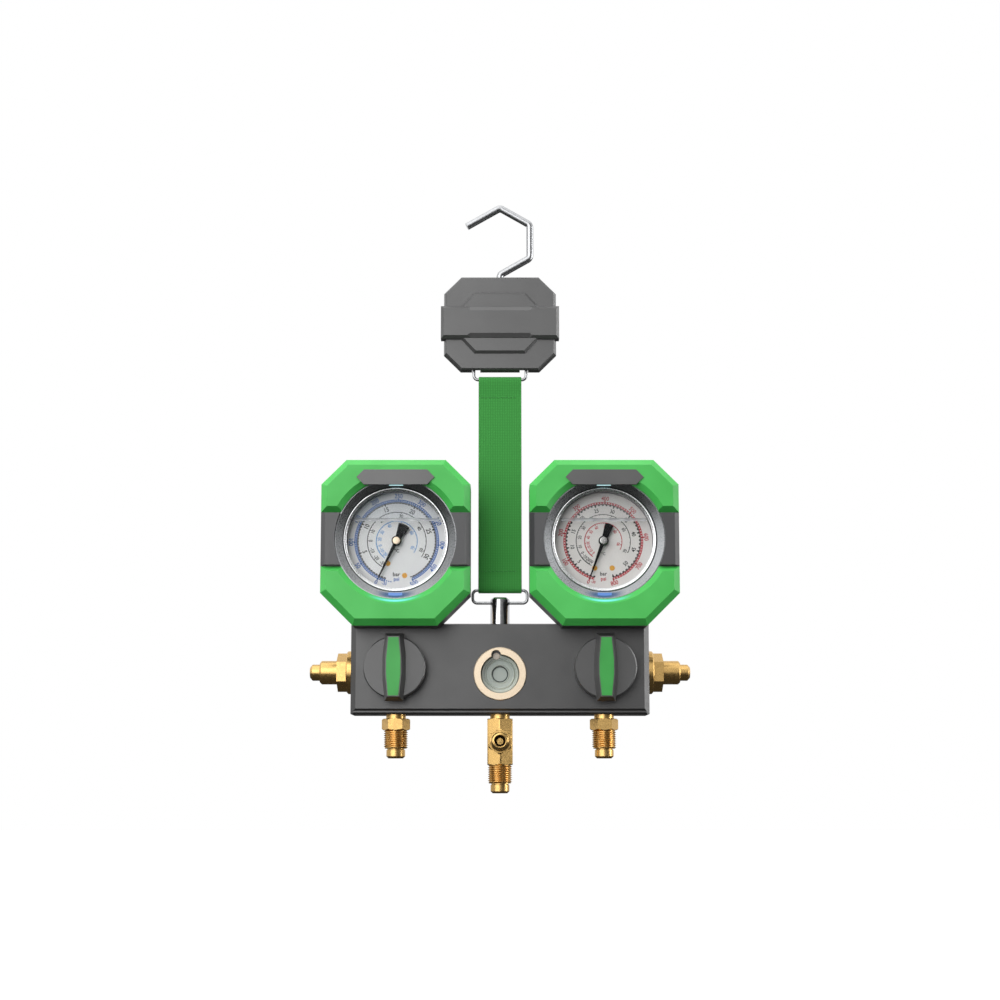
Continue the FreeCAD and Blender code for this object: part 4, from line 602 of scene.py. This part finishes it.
def add_strap():
    """Polyester webbing: a thin section with rounded edges, carried along the closed path."""
    low, high = box_mm("strap")
    top = high[2] - STRAP_EYE_R - STRAP_T / 2
    bottom = low[2] + STRAP_EYE_R + STRAP_T / 2
    path, length = strap_path(top, bottom)
    ahead = np.roll(path, -1, 0) - np.roll(path, 1, 0)
    ahead /= np.linalg.norm(ahead, axis=1)[:, None]
    out = np.stack([ahead[:, 1], -ahead[:, 0]], 1)
    half_w = STRAP_W / 2
    half_t = STRAP_T / 2 - 0.03
    flat_w = half_w - STRAP_EDGE
    across = np.array([-flat_w, -half_w / 2, 0, half_w / 2, flat_w, half_w,
                       flat_w, half_w / 2, 0, -half_w / 2, -flat_w, -half_w])
    lift = np.array([1, 1, 1, 1, 1, 0, -1, -1, -1, -1, -1, 0]) * half_t
    points = spread(across, path[:, :1] + out[:, :1] * lift, path[:, 1:] + out[:, 1:] * lift)
    piece = add_piece("webbing_strap", points, looped_quads(len(path), len(across)), webbing,
                      "strap", 60.0)
    flip_if_inside_out(piece)
    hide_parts("strap")
    stitches = add_stitches(top, bottom)


def flip_if_inside_out(piece):
    """Turns the faces over where the closed mesh's signed volume is negative."""
    mesh = piece.data
    mesh.calc_loop_triangles()
    corners = np.empty(len(mesh.loop_triangles) * 3, dtype=np.int32)
    mesh.loop_triangles.foreach_get("vertices", corners)
    places = np.empty(len(mesh.vertices) * 3)
    mesh.vertices.foreach_get("co", places)
    a, b, c = places.reshape(-1, 3)[corners.reshape(-1, 3)].transpose(1, 0, 2)
    if np.einsum("ij,ij->i", a, np.cross(b, c)).sum() < 0:
        mesh.flip_normals()


def beads(centres, half_sizes, rows=6, columns=10):
    """Points and faces of a small ellipsoid at each centre.

    A point is centre + half sizes * (sin u cos v, sin u sin v, cos u).
    """
    u = np.linspace(0.12, math.pi - 0.12, rows)[:, None]
    v = 2 * math.pi * np.arange(columns)[None, :] / columns
    ball = spread(np.sin(u) * np.cos(v), np.sin(u) * np.sin(v), np.cos(u)).reshape(-1, 3)
    points = np.array(centres)[:, None, :] + ball * np.array(half_sizes)
    faces = [[i + start for i in face[::-1]] for start in range(0, points.size // 3, len(ball))
             for face in capped_quads(rows, columns)]
    return points.reshape(-1, 3), faces


def add_stitches(top, bottom):
    """Two rows of lock stitches across the webbing at each end, front and back."""
    across = np.arange(-STRAP_W / 2 + 2.2, STRAP_W / 2 - 2.0, STITCH_LEN * STITCH_STEP)
    face = STRAP_T + 0.05
    inwards = STRAP_SEAM + SEAM_TO_STITCH
    centres = [(x, side * face, z) for z in (top - inwards, bottom + inwards) for side in (-1, 1) for x in across]
    points, faces = beads(centres, (STITCH_LEN / 2, STITCH_R * 0.8, STITCH_R))
    return add_piece("strap_stitches", points, faces, stitch_thread, "strap", 80.0)


# Dials. Angles are in degrees clockwise from the top, radii and heights in mm.
PRINT_LIFT = 0.04       # print in front of the enamel
CAP_HEIGHT = 0.69       # of the built-in font, for a size of 1
GLYPHS = {}
# Scales: angle of 0, degrees per unit, and the angles where the tracks start and end
LOW_PSI = (206.5, 31.1 / 50, 195.8, 517.3)
LOW_BAR = (206.5, 9.03, 195.8, 517.3)
HIGH_PSI = (200.3, 0.4065, 193.5, 525.5)
HIGH_BAR = (200.3, 5.9, 193.5, 525.5)
SPOT_R = 1.75


def gauge_centre(side):
    """Middle of a dial's face in mm: x, y, z."""
    low, high = box_mm(side + "_gauge_dial")
    return np.array([(low[0] + high[0]) / 2, low[1], (low[2] + high[2]) / 2])


def dial_point(radius, angle):
    """Place on the dial's face, right and up from its middle."""
    turn = np.radians(angle)
    return np.stack([radius * np.sin(turn), radius * np.cos(turn)], -1)


def arc_patch(inner, outer, start, end, step=3.0):
    """Flat band between two radii from one angle to another."""
    count = max(int(math.ceil((end - start) / step)), 1) + 1
    turn = np.linspace(start, end, count)
    points = np.concatenate([dial_point(inner, turn), dial_point(outer, turn)])
    i = np.arange(count - 1)
    return points, np.stack([i, i + count, i + count + 1, i + 1], 1).tolist()


def tick_patch(angles, inner, outer, width):
    """One rectangle at each angle, from the inner to the outer radius."""
    turn = np.radians(np.asarray(angles, float))[:, None]
    out = np.concatenate([np.sin(turn), np.cos(turn)], 1)
    side = np.concatenate([np.cos(turn), -np.sin(turn)], 1) * width / 2
    corners = np.stack([out * inner - side, out * outer - side, out * outer + side, out * inner + side], 1)
    return corners.reshape(-1, 2), np.arange(len(corners) * 4).reshape(-1, 4).tolist()


def glyph_patch(text):
    """Outline of a plain number or unit 1 mm high, centred on the origin, as flat points and faces."""
    if text not in GLYPHS:
        curve = bpy.data.curves.new("glyphs", "FONT")
        curve.body = text
        curve.align_x = "CENTER"
        curve.align_y = "CENTER"
        curve.resolution_u = 3
        curve.offset = 0.02
        holder = bpy.data.objects.new("glyphs", curve)
        bpy.context.scene.collection.objects.link(holder)
        bpy.context.view_layer.update()
        mesh = bpy.data.meshes.new_from_object(holder.evaluated_get(bpy.context.evaluated_depsgraph_get()))
        places = np.empty(len(mesh.vertices) * 3)
        mesh.vertices.foreach_get("co", places)
        flat = places.reshape(-1, 3)[:, :2]
        flat = (flat - (flat.max(0) + flat.min(0)) / 2) / CAP_HEIGHT
        GLYPHS[text] = flat, [list(p.vertices) for p in mesh.polygons]
        bpy.data.objects.remove(holder)
        bpy.data.curves.remove(curve)
        bpy.data.meshes.remove(mesh)
    return GLYPHS[text]


def label_patch(text, radius, angle, height, narrow=0.85):
    """A label that follows the circle, its foot turned to the middle above and outwards below."""
    flat, faces = glyph_patch(text)
    upper = math.cos(math.radians(angle)) > -0.02
    turn = math.radians(angle if upper else angle + 180)
    right = np.array([math.cos(turn), -math.sin(turn)])
    up = np.array([math.sin(turn), math.cos(turn)])
    scaled = flat * [height * narrow, height]
    return dial_point(radius, angle) + scaled[:, :1] * right + scaled[:, 1:] * up, faces


def level_patch(text, across, above, height):
    """A label that stays level at this place."""
    flat, faces = glyph_patch(text)
    return flat * height + [across, above], faces


def disc_patch(across, above, radius, count=28):
    """A round spot."""
    turn = 2 * math.pi * np.arange(count) / count
    points = np.stack([across + radius * np.cos(turn), above + radius * np.sin(turn)], 1)
    return points, [list(range(count))]


def print_on_dial(side, ink, patches, finish, lift=PRINT_LIFT):
    """One colour of print: the patches laid a hair in front of the dial."""
    x, y, z = gauge_centre(side)
    faces = []
    start = 0
    for flat, patch_faces in patches:
        faces += [[i + start for i in face] for face in patch_faces]
        start += len(flat)
    across, above = np.concatenate([flat for flat, _ in patches]).T
    piece = add_piece("%s_dial_%s" % (side, ink), spread(x + across, y - lift, z + above), faces, finish)
    face_front(piece)


def face_front(piece):
    """Turns over the flat faces that look away from the reader."""
    mesh = piece.data
    wrong = [p.index for p in mesh.polygons if p.normal.y > 0]
    if wrong:
        work = bmesh.new()
        work.from_mesh(mesh)
        work.faces.ensure_lookup_table()
        bmesh.ops.reverse_faces(work, faces=[work.faces[i] for i in wrong])
        work.to_mesh(mesh)
        work.free()


def scale_patches(scale, tracks, ticks, labels):
    """A scale: solid tracks (inner, outer radius), rows of ticks and one row of numbers.

    The angle of a value is the scale's angle of 0 plus its degrees per unit times the value. Ticks are
    (first, past the last, step, inner radius, outer radius, width), numbers (first, past the last, step,
    radius, height).
    """
    zero, per_unit, start, end = scale
    patches = [arc_patch(inner, outer, start, end) for inner, outer in tracks]
    patches += [tick_patch(zero + per_unit * np.arange(first, past, step), inner, outer, width)
                for first, past, step, inner, outer, width in ticks]
    first, past, step, radius, height = labels
    return patches + [label_patch(str(v), radius, zero + per_unit * v, height) for v in range(first, past, step)]


def print_low_dial():
    """Blue psi scale outside, black bar scale inside it and two temperature arcs."""
    blue = scale_patches(LOW_PSI, [(26.1, 26.6), (27.3, 27.8)],
                         [(-30, 501, 5, 26.6, 27.3, 0.8), (0, 501, 50, 26.6, 28.3, 0.9)], (0, 501, 50, 30.0, 2.9))
    blue += [label_patch("-30", 28.9, 196.0, 2.0), level_patch("psi", 0, -25.4, 2.4)]
    print_on_dial("low", "blue_print", blue, blue_ink)
    black = scale_patches(LOW_BAR, [(25.5, 25.95)],
                          [(-1, 34.6, 0.5, 24.9, 25.5, 1.2), (0, 34.5, 5, 24.2, 26.1, 0.7)], (5, 31, 5, 22.0, 2.9))
    black += [level_patch("bar", 0, -21.8, 2.5), level_patch("°C", 0, -6.2, 2.2)]
    outer = dict(zip(range(-30, 60, 10), (212.7, 230.6, 249.7, 271.0, 292.9, 324.0, 369.5, 419.6, 470.0)))
    black += temperature_arc(19.3, 209, 483, outer, 2.2)
    print_on_dial("low", "black_print", black, black_ink)
    inner = {-20: 222.6, -10: 240.0, 0: 255.5, 20: 277.0, 30: 301.6, 40: 334.0, 50: 373.0, 60: 420.0, 70: 472.5}
    print_on_dial("low", "sky_print", temperature_arc(13.5, 214, 484, inner, 2.0), sky_ink)
    dots = [disc_patch(-5.7, -14.6, SPOT_R), disc_patch(5.3, -22.6, SPOT_R)]
    print_on_dial("low", "marks", dots, amber_ink, PRINT_LIFT * 1.5)


def print_high_dial():
    """Red psi scale outside, black bar scale inside it and two temperature arcs."""
    red = scale_patches(HIGH_PSI, [(24.75, 25.2), (25.75, 26.2)],
                        [(-10, 801, 10, 25.2, 25.75, 1.0), (0, 801, 100, 25.1, 26.9, 1.0)],
                        (0, 801, 100, 28.4, 2.7))
    red += [label_patch("-30", 27.6, 194.0, 1.8), level_patch("psi", 0, -25.2, 2.3)]
    print_on_dial("high", "red_print", red, red_ink)
    black = scale_patches(HIGH_BAR, [(24.2, 24.65)],
                          [(-1, 55.5, 1, 23.5, 24.3, 1.2), (0, 55.5, 5, 22.7, 24.5, 0.7)], (5, 51, 5, 20.6, 2.5))
    black += [level_patch("bar", 0, -21.4, 2.4), level_patch("°C", 0, -8.2, 1.8)]
    outer = dict(zip(range(-30, 80, 10), (212.0, 221.0, 231.0, 241.0, 256.8, 279.5, 304.4, 335.5, 378.9,
                                          420.1, 474.4)))
    black += temperature_arc(17.8, 206, 475, outer, 2.0)
    print_on_dial("high", "black_print", black, black_ink)
    inner = dict(zip(range(0, 100, 10), (219.7, 233.4, 249.0, 263.6, 284.5, 308.0, 334.0, 368.0, 410.8,
                                         461.0)))
    print_on_dial("high", "rose_print", temperature_arc(12.3, 214, 477, inner, 1.8), red_ink)
    dots = [disc_patch(-5.7, -17.7, SPOT_R), disc_patch(5.7, -17.7, SPOT_R)]
    print_on_dial("high", "marks", dots, amber_ink, PRINT_LIFT * 1.5)


def temperature_arc(radius, start, end, places, height):
    """A thin arc with a tick and a number inside it at each place (number: angle), finer ticks between."""
    angles = np.array(list(places.values()))
    between = np.concatenate([np.linspace(a, b, 6)[1:-1] for a, b in zip(angles[:-1], angles[1:])])
    patches = [arc_patch(radius - 0.22, radius + 0.22, start, end)]
    patches += [tick_patch(angles, radius - 1.0, radius, 0.45), tick_patch(between, radius - 0.6, radius, 0.35)]
    return patches + [label_patch(str(v), radius - 2.3, a, height) for v, a in places.items()]


# Section of the rolled bezel: depth behind its front and radius, in mm
BEZEL_SECTION = np.array([
    (10.0, 33.45), (10.0, 34.3), (0.9, 34.3), (0.35, 34.2), (0.08, 33.95), (0.0, 33.65), (0.08, 33.3),
    (0.3, 32.9), (0.62, 32.5), (0.95, 32.15), (1.0, 32.0), (1.0, 33.45),
])
CAP_R = 2.55            # pointer's hub cap
CAP_DOME = 0.45


def add_bezels():
    """Rolled bezel: a crown near its outer edge and a rounded slope in to the lip over the window.

    The closed section is carried round the gauge's axis.
    """
    for side in ("low", "high"):
        low, high = box_mm(side + "_gauge_bezel_ring")
        middle = (low + high) / 2
        piece = add_turned(side + "_bezel", (middle[0], low[1], middle[2]), (0, 1, 0), (1, 0, 0),
                           BEZEL_SECTION.T, bezel_steel, looped=True, sharp=40.0)
        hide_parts(side + "_gauge_bezel_ring")


def add_hub_caps():
    """Domed cap over each pointer's hub."""
    for side, finish in (("low", satin_brass), ("high", magnet_nickel)):
        x, _, z = gauge_centre(side)
        front = box_mm(side + "_gauge_pointer")[0][1]
        bend = np.linspace(0, math.pi / 2, 6)
        stations = np.concatenate([[-0.3], CAP_DOME * np.sin(bend)])
        radii = np.concatenate([[CAP_R], CAP_R - CAP_DOME * (1 - np.cos(bend))])
        add_turned(side + "_pointer_cap", (x, front, z), (0, -1, 0), (1, 0, 0), (stations, radii), finish,
                   body=side + "_pointer")


FILL_LEVEL = 14.6       # liquid's surface over the dial's middle
FILL_BAND = 2.2         # height of the meniscus seen through the window
FILL_BEHIND = 0.15      # air space behind the window


def add_filling():
    """Glycerine level: a painted reflection on the air over it, a flat cap of a circle, and the liquid's curved
    edge with a painted highlight.

    The edge is a band across the window that bulges back by sin(pi * way down).
    """
    for side, reflection_finish in (("low", painted_air_reflection), ("high", bright_painted_air_reflection)):
        x, _, z = gauge_centre(side)
        behind = box_mm(side + "_gauge_window")[1][1] + FILL_BEHIND
        low, high = box_mm(side + "_gauge_dial")
        reach = (high[0] - low[0]) / 2 - 0.6
        top = math.acos(FILL_LEVEL / reach)
        turn = np.linspace(-top, top, 49)
        rim = spread(x + reach * np.sin(turn), behind, z + reach * np.cos(turn))
        face_front(add_piece(side + "_painted_air_reflection", rim, [list(range(len(turn)))], reflection_finish))
        # The edge band's pale tone is a painted highlight on the liquid's real curved edge.
        half = math.sqrt(reach ** 2 - FILL_LEVEL ** 2)
        across = np.linspace(-half, half, 25)
        down = np.linspace(0, 1, 7)
        grid = spread(x + across, behind + 0.1 + 0.9 * np.sin(math.pi * down)[:, None],
                      z + FILL_LEVEL - FILL_BAND * down[:, None])
        face_front(add_piece(side + "_liquid_edge_highlight", grid, grid_quads(len(down), len(across), closed=False),
                             meniscus_highlight))


# Cones that the lamps light, on the trim ring and on the guard's inner bevel: the radius and y of their
# inner and outer edges in mm, and the half angle in degrees
GLOWS = (
    ("ring_glow", blue_glow, (34.9, -27.55), (38.9, -30.25), 24),
    ("guard_glow", cyan_glow, (39.9, -32.25), (42.0, -34.35), 30),
)
GLOW_LIFT = 0.06        # glow in front of what it lights


def add_glow(side, name, finish, inner, outer, half_angle):
    """A lit patch on a cone round the gauge's axis, at its lowest part; it fades at its ends and sides.

    The cone runs from (radius, y) inner to (radius, y) outer. The attribute glow is
    cos(angle / half angle * quarter turn) squared times sin(pi * way across) to the power 0.7.
    """
    x, _, z = gauge_centre(side)
    turn = np.linspace(-half_angle, half_angle, 61)
    way = np.linspace(0, 1, 13)
    radius = inner[0] + (outer[0] - inner[0]) * way - GLOW_LIFT
    y = inner[1] + (outer[1] - inner[1]) * way - GLOW_LIFT
    a = np.radians(180 + turn)
    grid = spread(x + radius[:, None] * np.sin(a), y[:, None], z + radius[:, None] * np.cos(a))
    piece = add_piece("%s_%s" % (side, name), grid, grid_quads(len(way), len(turn), closed=False), finish)
    face_front(piece)
    fade = np.cos(turn / half_angle * math.pi / 2) ** 2 * np.sin(math.pi * way)[:, None] ** 0.7
    glow = piece.data.attributes.new("glow", "FLOAT", "POINT")
    glow.data.foreach_set("value", np.clip(fade, 0, 1).ravel())


# Sight glass: depth behind its front and radius of the moulded rings and of the bore in them, in mm
SIGHT_RIM = 0.3         # rings inside the window's edge
SIGHT_RINGS = [
    (-0.2, 10.9), (0.35, 10.4), (0.35, 10.0), (-0.1, 9.6), (-0.3, 9.3), (0.3, 9.0), (0.45, 8.7), (0.45, 6.4),
    (0.1, 5.9), (0.6, 5.4), (3.4, 4.6), (3.4, 0.4),
]
SIGHT_BORE = [
    (2.9, 4.95), (0.75, 5.25), (0.75, 4.9), (2.4, 4.3), (2.4, 3.5), (2.0, 3.4), (2.0, 3.1), (3.2, 2.9),
    (3.2, 0.3),
]
SIGHT_IN_R = 12.2
SIGHT_NOTCH_ANGLE = 11.5
NOTCH_BEAD = (2.5, 0.8, 2.4)


def add_sight_details():
    """Moulded rings of the sight glass, its bore, nearly black with painted shade, and the bead in the notch.

    Each section is carried round the window's axis, with a flat face over its ends.
    """
    low, high = box_mm("sight_window")
    x, z = (low[0] + high[0]) / 2, (low[2] + high[2]) / 2
    front = low[1]
    rim = (high[0] - low[0]) / 2 - SIGHT_RIM
    rings = [(1.6, rim), (0.2, rim), (-0.2, rim - 0.5)] + SIGHT_RINGS
    for name, section, finish, slot in (("sight_glass_rings", rings, sight_glass, "clear_window"),
                                        ("sight_bore", SIGHT_BORE, sight_bore_shade, "movement_brass")):
        add_turned(name, (x, front - 0.35, z), (0, -1, 0), (1, 0, 0), (np.array(section) * [-1, 1]).T,
                   finish, sharp=20.0)
    turn = math.radians(SIGHT_NOTCH_ANGLE)
    notch = (x - SIGHT_IN_R * math.sin(turn), front - 0.6, z + SIGHT_IN_R * math.cos(turn))
    points, faces = beads([notch], NOTCH_BEAD, 14, 28)
    add_piece("sight_notch_bead", points, faces, bead_glass, sharp=80.0)


def place_camera():
    """Looks up at the set from the height of its fittings, as the user does."""
    data = bpy.data.cameras.new("camera")
    data.sensor_width = CAMERA_SENSOR
    data.lens = CAMERA_LENS
    data.shift_y = CAMERA_SHIFT
    data.clip_start = 0.05
    data.clip_end = 100.0
    camera = bpy.data.objects.new("camera", data)
    camera.location = CAMERA_AT
    camera.rotation_euler = (math.radians(90 + CAMERA_PITCH), 0, 0)
    bpy.context.scene.collection.objects.link(camera)
    bpy.context.scene.camera = camera


def add_softboxes():
    """Area lamps that face the set's middle."""
    for name, (place, width, height, watts) in LAMPS.items():
        data = bpy.data.lights.new(name, "AREA")
        data.shape = "RECTANGLE"
        data.size = width
        data.size_y = height
        data.energy = watts
        lamp = bpy.data.objects.new(name, data)
        lamp.location = place
        lamp.rotation_euler = (Vector(LAMP_TARGET) - Vector(place)).to_track_quat("-Z", "Y").to_euler()
        bpy.context.scene.collection.objects.link(lamp)


def world_light(tree):
    """How bright the room is in each direction: pale above and behind, a dark floor, a dark card front right.

    The height ramp goes from the floor's tone to the walls' across the horizon. The card is a window in the
    angle round Z, 0 towards the reader and growing to the right, that dims what lies behind it.
    """
    way = add_node(tree, "SeparateXYZ", links={"Vector": add_node(tree, "TexCoord").outputs["Generated"]})
    height = add_node(tree, "MapRange", {"From Min": -1.0, "From Max": 1.0}, {"Value": way.outputs["Z"]})
    toward = add_node(tree, "Math", {1: -1.0}, {0: way.outputs["Y"]}, operation="MULTIPLY")
    around = add_node(tree, "Math", links={0: way.outputs["X"], 1: toward.outputs[0]}, operation="ARCTAN2")
    turn = add_node(tree, "MapRange", {"From Min": -math.pi, "From Max": math.pi}, {"Value": around.outputs[0]})
    card_places = [((angle + 180) / 360, tone) for angle, tone in CARD_TONES]
    both = add_node(tree, "MixRGB", {"Fac": 1.0}, blend_type="MULTIPLY")
    for source, tones, socket in ((height, HEIGHT_TONES, "Color1"), (turn, card_places, "Color2")):
        ramp = add_node(tree, "ValToRGB", links={"Fac": source.outputs[0]})
        ramp.color_ramp.interpolation = "EASE"
        steps = ramp.color_ramp.elements
        while len(steps) < len(tones):
            steps.new(1.0)
        for step, (place, tone) in zip(steps, tones):
            step.position = place
            step.color = (tone, tone, tone, 1.0)
        tree.links.new(ramp.outputs[0], both.inputs[socket])
    return both.outputs[0]


def build_studio():
    """Pale room, and a pale floor far under the hanging set."""
    world = bpy.data.worlds.new("pale_room")
    bpy.context.scene.world = world
    world.use_nodes = True
    tree = world.node_tree
    tree.nodes.clear()
    path = add_node(tree, "LightPath")
    seen = add_node(tree, "Math", operation="MAXIMUM",
                    links={0: path.outputs["Is Camera Ray"], 1: path.outputs["Is Transmission Ray"]})
    room = add_node(tree, "Background", {"Strength": AMBIENT}, {"Color": world_light(tree)})
    backdrop = add_node(tree, "Background", {"Color": linear("#FFFFFF"), "Strength": 1.0})
    both = add_node(tree, "MixShader", links={"Fac": seen.outputs[0], 1: room.outputs[0], 2: backdrop.outputs[0]})
    add_node(tree, "OutputWorld", links={"Surface": both.outputs[0]})

    floor_mesh = bpy.data.meshes.new("studio_floor")
    corners = [(x * FLOOR_REACH, y * FLOOR_REACH, FLOOR_Z) for x, y in ((-1, -1), (1, -1), (1, 1), (-1, 1))]
    floor_mesh.from_pydata(corners, [], [(0, 1, 2, 3)])
    floor = bpy.data.objects.new("studio_floor", floor_mesh)
    bpy.context.scene.collection.objects.link(floor)
    paper = bpy.data.materials.new("pale_paper")
    paper.use_nodes = True
    tree = paper.node_tree
    tree.nodes.clear()
    path = add_node(tree, "LightPath")
    shown = add_node(tree, "BsdfDiffuse", {"Color": linear("#F2F2F2")})
    glow = add_node(tree, "Emission", {"Color": linear("#FFFFFF"), "Strength": FLOOR_GLOW})
    pale = add_node(tree, "AddShader", links={0: shown.outputs[0], 1: glow.outputs[0]})
    dark = add_node(tree, "BsdfDiffuse", {"Color": linear("#3A3A3A")})
    both = add_node(tree, "MixShader",
                    links={"Fac": path.outputs["Is Camera Ray"], 1: dark.outputs[0], 2: pale.outputs[0]})
    add_node(tree, "OutputMaterial", links={"Surface": both.outputs[0]})
    floor_mesh.materials.append(paper)

    bpy.context.scene.view_settings.view_transform = "Standard"


place_camera()
build_studio()
add_softboxes()
add_flare_fitting("low_port", (1, 0, 0), PORT_HEX_AF, PORT_HEX_ROWS)
add_flare_fitting("high_port", (1, 0, 0), PORT_HEX_AF, PORT_HEX_ROWS)
add_flare_fitting("centre_tee", (0, -1, 0), TEE_HEX_AF, TEE_HEX_ROWS)
add_side_port()
add_service_bore()
add_strap()
print_low_dial()
print_high_dial()
add_bezels()
add_hub_caps()
add_filling()
for side in ("low", "high"):
    for glow_settings in GLOWS:
        add_glow(side, *glow_settings)
add_sight_details()
